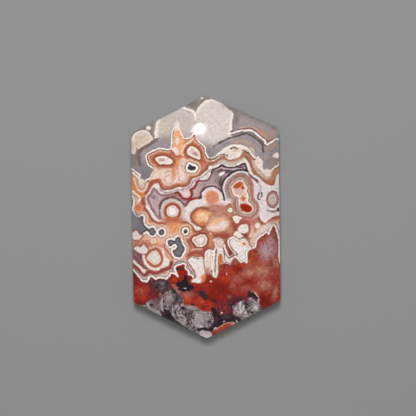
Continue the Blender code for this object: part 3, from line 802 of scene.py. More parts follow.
# What lies over the crystal crust near the bottom tip
CRUST_MARKS = (
    ("crust_dusk", "glow", ((155.5, 304.6, 7, 6, 20), (167.6, 303, 5, 8), (165, 293, 4, 6)),
     ((-0.7, (126, 98, 101), 0.65), (0.3, (118, 92, 96), 0))),
    ("crust_red", "glow", ((163, 295.4, 3.8, 3), (156, 301.6, 4, 2.4, 20)),
     ((-0.6, (126, 70, 74), 0.7), (0.4, (124, 84, 86), 0))),
    ("smoke", "area", (SMOKE_PATCH,),
     ((-4, (68, 52, 58), 0.8), (-1.6, (58, 38, 44), 0.9), (0, (72, 36, 40), 0.9), (2.2, (92, 46, 48), 0))),
    ("smoke_red", "glow", ((152.6, 284.4, 3.6, 4), (156, 289.6, 4, 3)),
     ((-0.6, (92, 34, 40), 0.9), (0.4, (96, 40, 44), 0))),
    ("dusk_grey", "area", (GREY_DUSK,),
     ((-3, (72, 69, 71), 0.82), (-0.8, (62, 55, 57), 0.85), (1.8, (92, 80, 82), 0))),
    ("crust_shadow", "glow",
     ((173.6, 290.6, 2, 5, -38), (176.6, 299, 1.4, 5, 10), (168, 283.6, 1.6, 4), (158.4, 286, 1.6, 4, 10)),
     ((-0.6, (48, 40, 44), 0.9), (0.4, (70, 52, 58), 0))),
    ("crust_blue", "glow", ((163.4, 285.4, 1.8, 3.6), (178.6, 300.6, 1.4, 2.4)),
     ((-0.5, (98, 86, 92), 0.6), (0.5, (84, 70, 78), 0))),
    ("crust_lilac", "glow", ((191, 307.2, 6, 2, 6), (201, 319.6, 6, 6.4), (255.6, 308, 3.4, 3.2)),
     ((-0.6, (178, 166, 165), 0.7), (0.4, (160, 146, 148), 0))),
    ("crust_black", "area", (CORNER_PATCH, DARK_RIGHT),
     ((-1.2, (42, 24, 32)), (0.2, (52, 36, 43)), (1.2, (80, 60, 66), 0))),
    ("crust_dim", "glow",
     ((216.4, 320, 2, 5, 10), (227, 316.4, 6, 3.4), (204, 329, 4, 1.2, 8), (164.6, 313.2, 3, 1.6, 20)),
     ((-0.5, (84, 54, 64), 0.7), (0.4, (50, 36, 42), 0))),
    ("crust_edge", "line", ((BLACK_HEM, 0.6), (TIP_SEAM, 0.7)),
     ((0, (36, 26, 32)), (1.2, (90, 70, 76), 0))),
    ("crust_pale", "line", ((CRUST_CURL, 0.4), (CRUST_ARC, 0.3), (CRUST_STREAK, 0.2), (RIM_STREAK, 0.7)),
     ((0, (188, 176, 174), 0.9), (1.1, (150, 136, 138), 0))),
    ("crust_dots", "spot",
     ((175.2, 312.4, 0.6, 1.4), (176.4, 318.6, 0.7, 0.6), (188, 323.6, 0.9, 1.2), (193.6, 319, 0.7, 0.7),
     (209, 321.5, 0.9, 1), (193, 328, 1.2, 0.7), (183, 308.5, 1.8, 1), (251.6, 312.6, 1.4, 0.5),
     (247.8, 311.5, 0.6, 0.9), (236.4, 317.5, 1.2, 0.6), (163.4, 300.6, 0.5, 2), (164.4, 306.5, 0.6, 1),
     (151.4, 305, 1.2, 0.8), (181, 318, 0.9, 0.9), (219, 312, 1.6, 0.8, -30), (229, 303, 0.8, 2.6, 10),
     (239.8, 321, 1.8, 1, -26), (160.4, 284.4, 1.2, 0.7, 20), (165, 289, 1, 0.7), (156.8, 288.6, 1, 1.4)),
     ((-0.3, (44, 34, 40)), (0.9, (80, 64, 70), 0))),
    ("crust_points", "spot",
     ((240.8, 311, 1, 2.2), (236, 308, 0.9, 0.9), (246, 313, 1, 0.7), (244.5, 317, 1, 0.6),
     (201, 326.5, 1.3, 0.8), (256, 308, 2, 1.8), (224.2, 321.6, 0.5, 0.3), (237, 321.2, 0.5, 1.5, -35),
     (215, 328.6, 0.8, 0.5, -30), (240, 305, 0.8, 2.6, 14), (243.4, 308, 0.7, 1.8, 10)),
     ((-0.3, (226, 216, 214)), (1, (176, 162, 162), 0))),
    ("sliver", "area", (RED_SLIVER,),
     ((-3, (186, 70, 44)), (-1.2, (192, 80, 56)), (-0.1, (222, 164, 154)), (0.7, WINE, 0))),
    ("sliver_foot", "glow", ((211.4, 333.8, 6, 2.2, -28),),
     ((-0.4, (128, 54, 56), 0.9), (0.5, (150, 60, 50), 0))),
    ("sliver_end", "glow", ((233.6, 324, 3.2, 2), (214.2, 328.8, 1, 1)),
     ((-0.5, (218, 160, 150), 0.9), (0.4, (190, 100, 84), 0))),
    ("tip", "area", (TIP_PIECE,), ((-0.6, (200, 182, 182)), (0.2, (192, 172, 172)), (0.8, INK, 0))),
)

LACE_GROUND = (
    ("ground_pale", "glow",
     ((150, 174, 6, 6), (195, 140, 6, 4), (258, 164, 4, 8), (138, 176, 5, 6), (235, 161, 14, 3, -4),
     (161, 243, 6, 4), (160, 231, 14, 8), (180, 256, 12, 12), (170, 238, 8, 9), (262, 228, 10, 5, -20),
     (274, 222, 6, 3, -30), (150, 220, 5, 7)),
     ((-0.6, (236, 206, 188)), (0.3, PEACH, 0))),
    ("ground_peach", "area", (PEACH_FIELD,),
     ((-3, (237, 208, 194)), (-0.6, (232, 196, 176)), (1.4, (214, 150, 120), 0))),
    ("ground_clay", "glow",
     ((203, 165, 7, 8, 20), (146, 188, 7, 6), (186, 242, 5, 16), (150, 245.4, 14, 4), (252, 224, 10, 8),
     (198, 252, 12, 4), (243, 160, 8, 6)),
     ((-0.5, CLAY), (0.4, CLAY, 0))),
    ("ground_rust", "glow",
     ((202, 231, 10, 6, 10), (235, 224, 4, 11), (222, 236, 14, 4), (186, 252, 4, 12, 20),
     (229, 248, 4, 8, -20), (205, 248, 9, 5), (244, 222, 7, 3), (246, 236, 5, 3, 30)),
     ((-0.5, (155, 76, 60)), (0.4, RUST, 0))),
    ("ground_pink", "glow", ((221, 208, 17, 7), (150, 240, 14, 6), (252, 242, 3, 6), (257, 222, 6, 4)),
     ((-0.5, (193, 132, 112)), (0.4, (190, 124, 102), 0))),
    ("ground_gold", "glow", ((230.6, 229, 2.6, 5), (210.6, 241, 3, 8), (218, 218, 6, 4)),
     ((-0.5, (202, 136, 96)), (0.4, (190, 120, 86), 0))),
    ("ground_orange", "glow",
     ((176.5, 134, 4, 12), (181.5, 145, 4, 5), (176, 163, 4, 9), (173.5, 172, 3, 8),
     (134.5, 187, 3, 9, -14), (138.6, 201, 4, 5), (140, 209, 5, 5), (173.6, 227.5, 6, 8), (156, 241, 9, 4)),
     ((-0.6, (224, 144, 94)), (0.3, TERRACOTTA, 0))),
    ("ground_amber", "glow", ((138.6, 208, 2.4, 4), (173.4, 228, 3.6, 5.6)),
     ((-0.6, (228, 150, 92)), (0.4, ORANGE, 0))),
)

# The bands that run along the lace's two edges
HAZE_EDGE = (
    (-1.4, ASH, 0), (-0.6, (136, 124, 124), 0.25), (-0.2, (152, 140, 138), 0.6), (0.2, WHITE),
    (1.2, (250, 238, 229)), (1.7, (118, 88, 70)), (2.3, (126, 94, 76)), (2.9, (222, 174, 152)),
    (3.8, (214, 162, 136)), (5, (184, 116, 92)), (6.6, (178, 106, 80)), (8.4, CLAY, 0),
)
JASPER_EDGE = (
    (-0.9, WINE, 0), (-0.2, (110, 48, 44), 0.9), (0.3, (246, 230, 221)), (1.4, (246, 233, 224)),
    (2.1, (134, 116, 112)), (2.7, (158, 138, 130)), (3.5, (226, 206, 194)), (4.6, (220, 186, 172), 0.8),
    (6, ROSE, 0),
)

LACE_MARKS = (
    ("milk", "area", (MILK_FIELD,),
     ((-8, (226, 214, 213)), (-3.2, (229, 217, 215)), (-1, (240, 228, 223)), (-0.2, (232, 209, 200)),
     (0.5, (140, 78, 60)), (1.3, (158, 92, 69)), (2.8, (177, 109, 82)), (4, (200, 136, 108), 0.85),
     (5.6, TERRACOTTA, 0))),
    ("mist", "area", (GREY_FIELD,),
     ((-9, (178, 154, 156)), (-4.4, (186, 161, 162)), (-2.6, (198, 169, 168)), (-1.7, (162, 126, 128)),
     (-0.8, (114, 71, 76)), (0.1, (128, 86, 88)), (0.9, MILK, 0))),
    ("mist_dark", "glow",
     ((228, 171.2, 8, 2.2, -12), (220.6, 183, 3, 9, 16), (217, 171, 5, 3, -20), (240, 167.5, 5, 1.6, -10),
     (160.4, 213, 1.4, 5)),
     ((-0.6, (108, 88, 94), 0.85), (0.5, (150, 130, 136), 0))),
    ("mist_spot", "glow", ((153.6, 197, 2.4, 2.4),),
     ((-0.5, (138, 104, 108), 0.8), (0.5, (160, 136, 142), 0))),
    ("mist_red", "glow", ((172, 195.6, 9, 2.6),), ((-0.5, (152, 92, 88), 0.85), (0.4, ROSE, 0))),
    ("mauve_grey", "glow", ((216.6, 180.6, 4.6, 8.4, -18), (207, 184.6, 8, 2.6, -8)),
     ((-0.7, (142, 122, 121), 0.85), (0.3, (150, 131, 130), 0))),
    ("mauve_dark", "glow",
     ((220.6, 183, 1.6, 6, 4), (221, 169.8, 3.2, 1.4, 10), (229.4, 171.2, 6.6, 1.5, -3)),
     ((-0.4, (92, 70, 70), 0.9), (0.8, (110, 90, 90), 0))),
    ("mist_pink", "line", ((HOLLOW_LINE, 0.3), (MIST_ARC, 0.3), (MIST_BROW, 0.2)),
     ((-0.1, (208, 176, 178)), (0.9, MAUVE, 0))),
    ("mist_line", "line", ((MILK_SEAM, 0.3), (PURPLE_LINE, 0.7)),
     ((-0.1, (152, 116, 120), 0.9), (1.1, MAUVE, 0))),
    ("mist_chip", "area", (MIST_CHIP,),
     ((-0.5, (246, 236, 232)), (0.2, (222, 204, 202)), (0.8, (104, 82, 88), 0.9), (1.8, PLUM, 0))),
    ("orb_body", "area", (BIG_ORB,),
     ((-9, (180, 140, 124)), (-7.6, (163, 118, 101)), (-6.2, (155, 113, 99)), (-4.8, (166, 136, 127)),
     (-3.2, (174, 153, 148)), (-1.8, (188, 172, 168)), (-0.9, (220, 204, 198)), (0, (206, 192, 188)),
     (0.9, MILK, 0))),
    ("thread", "line", ((PALE_THREAD, 0.25),), ((0, (204, 186, 184), 0.9), (1, (170, 146, 148), 0))),
    ("thread_dark", "spot", ((240.8, 167.3, 2.6, 0.5, -12), (229, 170.4, 4.6, 0.6, 4)),
     ((-0.2, (74, 58, 62), 0.9), (0.9, (140, 116, 120), 0))),
    ("orb_crown", "glow", ((241, 177, 9, 5, 10),),
     ((-0.4, (153, 117, 105), 0.9), (0.4, (160, 130, 120), 0))),
    ("orb_flank", "line", ((ORB_FLANK, 1.6),),
     ((-1, (168, 118, 104)), (0.2, (182, 130, 116)), (1.8, (222, 188, 176), 0))),
    ("orb_red", "glow", ((251, 205, 6, 9, -20), (247, 215.4, 11, 3), (235.6, 207, 3.4, 9, -20)),
     ((-0.6, (170, 104, 90), 0.85), (0.35, ROSE, 0))),
    ("orb_rim", "line", ((OUTER_ARC, 0.45),), ((-0.2, (238, 229, 229)), (0.9, LILAC, 0))),
    ("hook", "line", ((HOOK, 0.2),), ((0, (184, 162, 160), 0.9), (1, LILAC, 0))),
    ("hook_dark", "line", ((HOOK_LEFT, 0.35), (HOOK_RIGHT, 0.2), (HOOK_HEAD, 0.6)),
     ((0, (92, 68, 75)), (1.1, LILAC, 0))),
    ("hook_blob", "spot", ((256.6, 180.6, 2.4, 1.1, 42),), ((-0.2, (116, 76, 80)), (1.2, LILAC, 0))),
    ("belt_grey", "line", ((BELT_GREY, 0.6),), ((-0.2, (190, 172, 167), 0.85), (1.1, (210, 198, 194), 0))),
    ("black_lines", "line", ((BLACK_ARC, 0.6), (BLACK_LINE, 0.45)),
     ((-0.1, (42, 30, 36)), (0.8, (110, 84, 92), 0))),
    ("orb_lines", "line", ((ORB_LINE, 0.5),), ((-0.1, (92, 52, 60)), (0.8, (150, 110, 116), 0))),
    ("red_lines", "line", ((RED_LINE, 0.8), (RED_TAIL, 0.5)),
     ((-0.2, (144, 34, 30)), (1.1, (190, 110, 104), 0))),
    ("pink_orb", "spot", ((186, 193.4, 3, 3),),
     ((-2, (234, 208, 207)), (0.4, (228, 194, 192), 0.9), (2, ROSE, 0))),
    ("ring_orb", "spot", ((172.5, 211.4, 3.8, 3.8),),
     ((-3, (246, 236, 230)), (-0.1, (244, 234, 226)), (0.5, (200, 182, 172)), (1.2, (242, 224, 214)),
     (1.9, (238, 210, 196)), (2.5, (160, 76, 60)), (4.6, (172, 88, 68)), (5.4, (200, 150, 130)),
     (6.2, (208, 190, 178)), (7.4, (214, 200, 190)), (8.3, (182, 170, 160)), (9, LILAC, 0))),
    ("ring_stem", "glow", ((173, 220.4, 8, 3.4),), ((-0.4, (172, 98, 72)), (0.4, CLAY, 0))),
    ("orange_orb", "spot", ((212, 197.2, 6.4, 6.2),),
     ((-5, (210, 138, 114)), (-2.4, (222, 138, 104)), (-0.2, (224, 146, 110)), (1.2, (234, 202, 190)),
     (2.6, (234, 222, 220)), (3.4, MILK, 0))),
    ("orb_foot", "glow", ((216, 209, 14, 6),), ((-0.4, (190, 128, 110)), (0.3, (196, 136, 120), 0))),
    ("side_orb", "spot", ((272.6, 199.4, 3, 4.2),),
     ((-3, (216, 198, 192)), (-2.2, (214, 196, 190)), (-1.7, (158, 146, 146)), (-1, (220, 203, 194)),
     (0.2, (218, 192, 182)), (1, (192, 148, 140)), (2.5, (178, 128, 122)), (3.1, (125, 80, 76)),
     (3.7, (150, 110, 108)), (4.4, (242, 232, 228)), (5.6, MILK, 0))),
    ("side_lines", "line", ((SIDE_LINE, 0.5),), ((-0.1, (118, 90, 94), 0.9), (1, LILAC, 0))),
    ("side_patch", "spot", ((278.2, 209.4, 1.2, 2),), ((-0.3, (80, 44, 54)), (0.9, LILAC, 0))),
    ("v_fill", "area", (V_FILL,),
     ((-3, (233, 212, 203)), (-0.4, (239, 222, 214)), (1, (228, 200, 186), 0))),
    ("v_tan", "line", ((V_TAN, 1),), ((-0.3, (190, 136, 106)), (1, (176, 112, 82), 0.9), (2.2, RUST, 0))),
    ("v_line", "line", ((V_LINE, 0.25),), ((0, (176, 146, 124)), (0.8, BLUSH, 0))),
    ("v_foot", "glow", ((269.4, 182.4, 3.6, 1.6),), ((-0.5, (182, 104, 72)), (0.4, RUST, 0))),
    ("pale_green", "spot", ((230.2, 210, 2.2, 2.2),),
     ((-0.8, (228, 228, 202)), (0.2, (220, 216, 190)), (0.9, (128, 82, 66)), (2, CLAY, 0))),
    ("gold", "area", (GOLD_LEFT,),
     ((-7, (243, 194, 150)), (-4, (236, 178, 130)), (-2, (216, 146, 102)), (-0.6, (176, 102, 70)),
     (0.6, (138, 72, 52)), (1.8, (156, 90, 70), 0.7), (3, CLAY, 0))),
    ("gold_right", "area", (GOLD_RIGHT,),
     ((-7, (238, 186, 146)), (-4, (234, 178, 140)), (-2.4, (216, 162, 134)), (-1.2, (210, 156, 130)),
     (0.2, (194, 136, 112)), (1.6, (174, 108, 86), 0.8), (3.6, RUST, 0))),
    ("gold_haze", "glow",
     ((218.4, 214.2, 4.4, 2.2, 6), (228.6, 229.4, 3, 2, -30), (213.4, 209.4, 5, 1.9, 16)),
     ((-0.5, (193, 136, 114), 0.9), (0.5, (194, 136, 114), 0))),
    ("gold_deep", "glow", ((203.6, 223.4, 4.4, 2, 10), (194.4, 217, 1.8, 4)),
     ((-0.6, (204, 122, 76), 0.9), (0.4, (206, 130, 88), 0))),
    ("gold_light", "glow", ((202, 215.6, 5, 3.6, -20), (206.6, 219, 1.8, 3.6, 20)),
     ((-0.6, (244, 205, 170)), (0.4, APRICOT, 0))),
    ("gold_ridge", "line", ((GOLD_RIDGE, 0.2),), ((0, (196, 140, 108)), (1.2, (214, 156, 118), 0))),
    ("pale_drop", "area", (PALE_DROP,),
     ((-4, (234, 219, 213)), (-1.6, (235, 208, 196)), (0.4, (234, 194, 168), 0.8),
     (2.2, (226, 176, 140), 0))),
    ("belt_beige", "line", ((BELT_BEIGE, 0.8), (BELT_OUTSIDE, 0.8)),
     ((-0.2, (206, 180, 162), 0.9), (1.3, (212, 186, 168), 0))),
    ("belt_brown", "line", ((BELT_BROWN, 0.6),), ((-0.2, (148, 106, 92), 0.85), (1.4, (172, 126, 108), 0))),
    ("slab_foot", "line", ((SLAB_FOOT, 0.5),), ((0, (168, 108, 86)), (1.2, SAND, 0))),
    ("slab", "area", (CREAM_SLAB,),
     ((-2.6, (232, 216, 207)), (-0.3, (246, 236, 228)), (0.5, (232, 208, 194)), (1.2, (196, 148, 124), 0))),
    ("slab_tan", "glow", ((235.4, 150.2, 2.2, 2), (246, 150.2, 4, 1.2, 20)),
     ((-0.6, (214, 178, 160), 0.9), (0.5, (222, 194, 178), 0))),
    ("seams", "line", ((LACE_SEAM, 0.35), (SLAB_CURL, 0.55), (SLAB_UNDER, 0.4)),
     ((0, (90, 68, 60)), (0.8, SAND, 0))),
    ("slab_stem", "line", ((SLAB_STEM, 0.1),), ((0, (196, 172, 160)), (0.9, CREAM, 0))),
    ("inner_cell", "area", (INNER_CELL,),
     ((-4, (216, 174, 161)), (-1.8, (222, 184, 173)), (-1, (236, 210, 200)), (-0.4, (248, 234, 224)),
     (0.2, (240, 222, 210)), (0.9, (140, 104, 92)), (1.7, (184, 150, 136)), (2.4, (204, 172, 156)),
     (3.4, (160, 116, 102), 0.8), (4.8, (160, 114, 98), 0))),
    ("lens", "area", (RED_LENS,),
     ((-1.6, (172, 78, 32)), (-0.4, (184, 92, 48)), (0.6, (216, 158, 136)), (1.6, BLUSH, 0))),
    ("deep_lens", "area", (DEEP_LENS,),
     ((-1.6, (150, 34, 6)), (-0.4, (166, 56, 22)), (0.6, (214, 150, 130)), (1.6, BLUSH, 0))),
    ("blob", "spot", ((243.2, 198.4, 2, 2.4),),
     ((-1.6, (198, 116, 66)), (-0.4, (210, 134, 88)), (0.8, (222, 176, 156)), (1.8, (238, 218, 208)),
     (2.6, BLUSH, 0))),
    ("dots", "spot", ((242.6, 187.8, 0.8, 1), (243.4, 199.2, 0.5, 0.8)),
     ((-0.3, (160, 60, 20)), (0.6, (212, 120, 76)), (1.4, (228, 164, 138), 0))),
    ("cells", "area", (CELL_LEFT, CELL_RIGHT),
     ((-2.6, (228, 208, 204)), (-1.2, (236, 220, 210)), (-0.7, (247, 236, 223)), (0.1, (238, 215, 197)),
     (0.8, (136, 70, 52)), (1.8, (160, 86, 64)), (3.4, (184, 108, 82), 0.9), (5, CLAY, 0))),
    ("cell_shade", "glow", ((195.6, 153.8, 4, 2, 35), (162, 159.6, 3, 1.2)),
     ((-0.5, (186, 146, 134)), (0.4, ROSE, 0))),
    ("spire", "area", (ORANGE_SPIRE,),
     ((-1.6, (240, 172, 118)), (0, (236, 176, 132)), (1.4, (240, 206, 186), 0))),
    ("spire_top", "glow", ((176.8, 127, 2.6, 3.6),), ((-0.6, (236, 222, 213)), (0.4, (240, 206, 186), 0))),
    ("arch_rust", "line", ((ARCH_RUST, 0.8),), ((-0.2, (206, 126, 84), 0.9), (1.3, (222, 150, 104), 0))),
    ("arch_pale", "line", ((ARCH_PALE, 0.5),), ((-0.1, (240, 210, 188)), (1, (222, 150, 112), 0))),
    ("oval", "area", (DRIP_OVAL,),
     ((-1.4, (238, 216, 204)), (-0.2, (240, 218, 206)), (0.7, (226, 176, 152), 0.9), (1.6, ORANGE, 0))),
    ("oval_line", "line", ((OVAL_LINE, 0.4),), ((0, (160, 84, 60), 0.9), (1, CLAY, 0))),
    ("spire_oval", "spot", ((177.2, 140.6, 1.7, 3.4, 8),),
     ((-0.4, (236, 212, 206)), (0.4, (228, 184, 164)), (1.2, ORANGE, 0))),
    ("curls", "line", ((LEFT_CURL, 0.25), (RIGHT_CURL, 0.25), (SMALL_CURL, 0.2)),
     ((0, (190, 162, 147), 0.95), (1, BLUSH, 0))),
    ("eye", "area", (EYE,),
     ((-1.2, (58, 50, 52)), (-0.2, (74, 64, 64)), (0.6, (250, 246, 242)), (2, (248, 240, 232)),
     (2.7, (136, 114, 100)), (3.3, (150, 118, 100)), (4, (236, 198, 176)), (5.2, (226, 170, 142), 0.8),
     (6.4, TERRACOTTA, 0))),
    ("join_pale", "glow", ((160.6, 174, 4.4, 6),), ((-0.6, (238, 212, 194)), (0.3, (234, 196, 172), 0))),
    ("v_pale", "area", (V_PALE,), ((-1.5, (236, 208, 190)), (0.2, (228, 186, 164)), (1.4, TERRACOTTA, 0))),
    ("side_rust", "line", ((SIDE_RUST, 1.3),),
     ((-0.4, (164, 88, 64)), (0.8, (180, 106, 80), 0.9), (2, CLAY, 0))),
    ("side_amber", "line", ((SIDE_AMBER, 2),),
     ((-0.8, (222, 134, 66)), (0.6, (224, 148, 92), 0.9), (1.8, PEACH, 0))),
    ("side_pink", "line", ((U_PINK, 0.6),), ((0, (238, 205, 187)), (1, PEACH, 0))),
    ("side_fill", "spot", ((141.4, 184.4, 2.6, 4.2), (141.4, 181.4, 2.4, 2.4)),
     ((-0.6, (228, 204, 184)), (0.9, BLUSH, 0))),
    ("side_tan", "line", ((U_TAN, 0.35),), ((0, (186, 160, 134)), (0.9, PEACH, 0))),
    ("side_cream", "line", ((SIDE_WHITE, 0.5), (SIDE_CREAM, 0.5)), ((0, (246, 232, 218)), (1.1, PEACH, 0))),
    ("side_lines_dark", "line", ((SPOT_LINE, 0.3),), ((0, (146, 104, 80), 0.95), (0.9, PEACH, 0))),
    ("side_dots", "spot", ((141.2, 186.6, 0.7, 0.9),), ((0, (220, 160, 150)), (1, BLUSH, 0))),
    ("orange_dots", "spot", ((136.4, 199.2, 1.4, 1.5),), ((-0.2, (226, 152, 100)), (1.4, PEACH, 0))),
    ("left_edge", "line", ((LEFT_EDGE_LINE, 0.5),), ((0, (248, 234, 221)), (1.3, PEACH, 0))),
    ("pocket_band", "line", ((POCKET_BAND, 0.35),), ((0, (186, 130, 106)), (1.2, PEACH, 0))),
    ("funnel", "glow", ((173.8, 225.6, 6.4, 4.8),),
     ((-0.8, (222, 138, 80)), (-0.3, (226, 154, 102), 0.9), (0.5, (236, 190, 156), 0))),
    ("funnel_foot", "glow", ((174.4, 229.8, 2.8, 4.4),),
     ((-0.7, (226, 146, 90)), (0.4, (236, 190, 156), 0))),
    ("funnel_top", "glow", ((173, 220, 13, 2.8),),
     ((-0.6, (182, 104, 76), 0.95), (0.5, (204, 124, 80), 0))),
    ("orb_haze", "glow", ((161.6, 240, 7, 4.4), (147, 238, 6, 3)),
     ((-0.6, (232, 184, 156), 0.9), (0.5, (222, 164, 132), 0))),
    ("patch_lines", "line", ((PATCH_LEFT, 0.2), (PATCH_RIGHT, 0.2)),
     ((0, (222, 186, 162), 0.8), (1, PEACH, 0))),
    ("pockets", "area", (LEFT_POCKET, RIGHT_SPOT, LOBED_POCKET),
     ((-6, (128, 124, 133)), (-1.8, (116, 110, 117)), (-0.5, (80, 71, 74)), (0.1, (112, 101, 98)),
     (0.7, (250, 243, 236)), (1.8, (246, 235, 226)), (2.5, (170, 130, 112)), (3.1, (214, 168, 146)),
     (4, (232, 192, 170), 0.9), (6, PEACH, 0))),
    ("pocket_pale", "glow", ((134.6, 221.6, 6.4, 9.6),),
     ((-0.6, (136, 128, 136), 0.9), (0.4, (122, 116, 123), 0))),
    ("left_blob", "spot", ((138.6, 207.6, 4.2, 3.4),),
     ((-2.2, (216, 126, 82)), (-0.6, (220, 138, 94)), (1.4, (230, 176, 142), 0))),
    ("pale_orb", "spot", ((153.2, 241, 2.5, 2.5),),
     ((-2.3, (160, 146, 142)), (-1.7, (232, 204, 188)), (0, (236, 208, 192)), (0.9, (190, 116, 90), 0))),
    ("small_orb", "spot", ((185.6, 231.4, 1.6, 1.7),),
     ((-0.8, (70, 62, 58)), (0.1, (72, 62, 58)), (0.9, (248, 241, 234)), (2, (246, 234, 225)),
     (2.7, (128, 88, 70)), (3.3, (176, 124, 100)), (4.2, (236, 194, 170)), (5.6, (222, 156, 120), 0.7),
     (7, ORANGE, 0))),
    ("middle_cell", "area", (CELL_MIDDLE,),
     ((-4, (238, 222, 219)), (-3, (240, 226, 219)), (-2.3, (176, 136, 125)), (-1.6, (234, 206, 195)),
     (-0.3, (244, 223, 210)), (0.5, (120, 64, 50)), (1.6, (146, 74, 58)), (3.2, CLAY, 0))),
    ("red_layers", "line", ((RED_LAYER, 1),), ((-0.4, (158, 72, 66), 0.95), (2.2, (186, 110, 92), 0))),
    ("pale_layers", "line", ((PALE_LAYER, 0.5),), ((0, (218, 168, 148)), (1.3, CLAY, 0))),
    ("core", "area", (ORB_CORE,),
     ((-4, (228, 218, 212)), (-2.2, (240, 228, 218)), (-1.5, (208, 186, 176)), (-0.6, (243, 226, 215)),
     (0.2, (214, 160, 140)), (0.9, (166, 82, 68)), (2.6, (184, 108, 90)), (3.6, (218, 166, 148)),
     (4.6, (228, 190, 172), 0.8), (6.5, PEACH, 0))),
    ("core_ring", "line", ((CORE_RING, 0.6), (CREAM_STEM, 0.4)), ((0, (246, 234, 226)), (1.1, BLUSH, 0))),
    ("right_band", "line", ((RIGHT_BAND, 0.5),), ((0, (178, 104, 88)), (1.3, BLUSH, 0))),
    ("triangle", "area", (WHITE_TRIANGLE,),
     ((-0.8, (238, 226, 217)), (0.4, (232, 212, 200)), (1.4, ROSE, 0))),
    ("wedge", "area", (PURPLE_WEDGE,),
     ((-3, (136, 88, 96)), (-0.6, (126, 76, 82)), (1, (180, 136, 132), 0))),
    ("wedge_line", "line", ((WEDGE_LINE, 0.2), (WEDGE_TOP, 0.2)),
     ((0, (176, 128, 132), 0.8), (1, PLUM, 0))),
    ("red_bands", "line", ((RED_BAND, 1.1),),
     ((-0.5, (146, 66, 62)), (0.5, (162, 90, 84)), (1.8, (214, 160, 146), 0))),
    ("end_band", "line", ((END_BAND, 0.8),), ((-0.2, (166, 90, 75)), (1.3, (214, 160, 146), 0))),
    ("white_bands", "line", ((WHITE_LINE_LEFT, 0.6), (WHITE_EDGE_RIGHT, 0.3)),
     ((0, (248, 234, 224)), (0.9, BLUSH, 0))),
    ("stripes", "line", ((STRIPE_ONE, 0.4), (STRIPE_TWO, 0.3), (PALE_ARC, 0.6)),
     ((0, (228, 196, 180), 0.95), (1.8, CLAY, 0))),
    ("corner_pale", "glow", ((265.4, 228, 9, 3.4, -36), (258, 233, 5, 2, -30)),
     ((-0.5, (229, 209, 198), 0.85), (0.5, (220, 190, 174), 0))),
    ("corner_rose", "glow", ((250.4, 222.6, 5.4, 5.4), (243.6, 219.8, 5, 2.4)),
     ((-0.6, (186, 102, 92), 0.8), (0.4, (182, 98, 84), 0))),
    ("pearl_line", "line", ((PEARL_LINE, 0.2),), ((0, (150, 92, 76), 0.9), (0.9, CLAY, 0))),
    ("notch", "spot", ((244.2, 235, 1.7, 1.7),), ((-0.6, (120, 50, 56)), (1, RUST, 0))),
    ("cream_chips", "area", (CREAM_LEFT, WHITE_LEFT, CHIP, PEARL, BUD),
     ((-1.6, (236, 224, 216)), (-0.3, (244, 231, 223)), (0.4, (190, 150, 134)), (1.2, (148, 82, 68), 0.8),
     (2.2, RUST, 0))),
    ("tiny_white", "spot", ((257.4, 225.6, 2, 2.1), (198.2, 228.3, 1.6, 1.2, 30)),
     ((-0.4, CREAM), (0.4, (232, 206, 196)), (1.4, ROSE, 0))),
    ("gold_knob", "spot", ((210.4, 233.6, 1, 1),), ((0, (217, 164, 134)), (1, RUST, 0))),
    ("under_line", "line", ((UNDER_LINE, 0.4),), ((0, (132, 116, 112)), (1, CREAM, 0))),
    ("drip_one", "area", (DRIP_ONE,),
     ((-3, (234, 222, 219)), (-0.3, (246, 233, 224)), (0.4, (170, 122, 108)), (1.2, (140, 72, 60), 0.7),
     (2, RUST, 0))),
    ("red_gap", "area", (RED_GAP,), ((-0.6, (120, 54, 42)), (1, RUST, 0))),
    ("drips", "area", (DRIP_TWO, DRIP_THREE, HEART),
     ((-4, (236, 225, 222)), (-2.8, (241, 230, 225)), (-2, (200, 172, 162)), (-1.3, (238, 220, 211)),
     (-0.3, (248, 235, 226)), (0.4, (170, 122, 108)), (1.2, (140, 72, 60), 0.7), (2, RUST, 0))),
    ("drip_knob", "spot", ((215.4, 240.4, 2.6, 2.2), (220.2, 242.6, 3.4, 4, -20)),
     ((-2, (226, 202, 192)), (-0.7, (222, 194, 182)), (0.2, (202, 160, 146), 0.95),
     (1.2, (180, 130, 116), 0))),
    ("drip_fade", "glow", ((208.2, 270, 2.8, 4),),
     ((-0.5, (182, 102, 88), 0.95), (0.5, (206, 150, 132), 0))),
    ("core_foot", "glow", ((220.6, 267, 2.1, 3.6),), ((-0.5, (172, 86, 58), 0.9), (0.6, (166, 70, 46), 0))),
    ("core_foot", "glow", ((221.4, 268, 3.2, 6),), ((-0.5, (150, 76, 44)), (0.5, (150, 60, 36), 0))),
    ("drip_core", "area", (DRIP_CORE,),
     ((-1.2, (190, 104, 46)), (0, (204, 130, 80)), (1.3, (214, 160, 120), 0))),
    ("drip_orange", "glow", ((203, 277.8, 2.5, 3.8, 12),),
     ((-0.6, (230, 122, 80)), (0.5, (236, 160, 126), 0))),
    ("drip_lines", "line",
     ((DRIP_SEAM, 0.25), (DRIP_FOLD, 0.35), (SEAM_RIGHT, 0.35), (DRIP_ONE_LINE, 0.2), (HEART_LINE, 0.2),
     (HEART_RIGHT, 0.2)),
     ((0, (124, 92, 91), 0.95), (0.9, CREAM, 0))),
    ("drip_pink", "glow", ((197.8, 271, 2.4, 4.6), (209.4, 262, 2.6, 8)),
     ((-0.5, (232, 206, 196), 0.8), (0.4, CREAM, 0))),
    ("heart_dot", "spot", ((243.8, 243.8, 0.7, 0.7),),
     ((-0.2, (190, 92, 56)), (0.5, (204, 124, 92)), (1.1, (240, 200, 176)), (2.4, (238, 208, 190), 0.8),
     (4, CREAM, 0))),
)


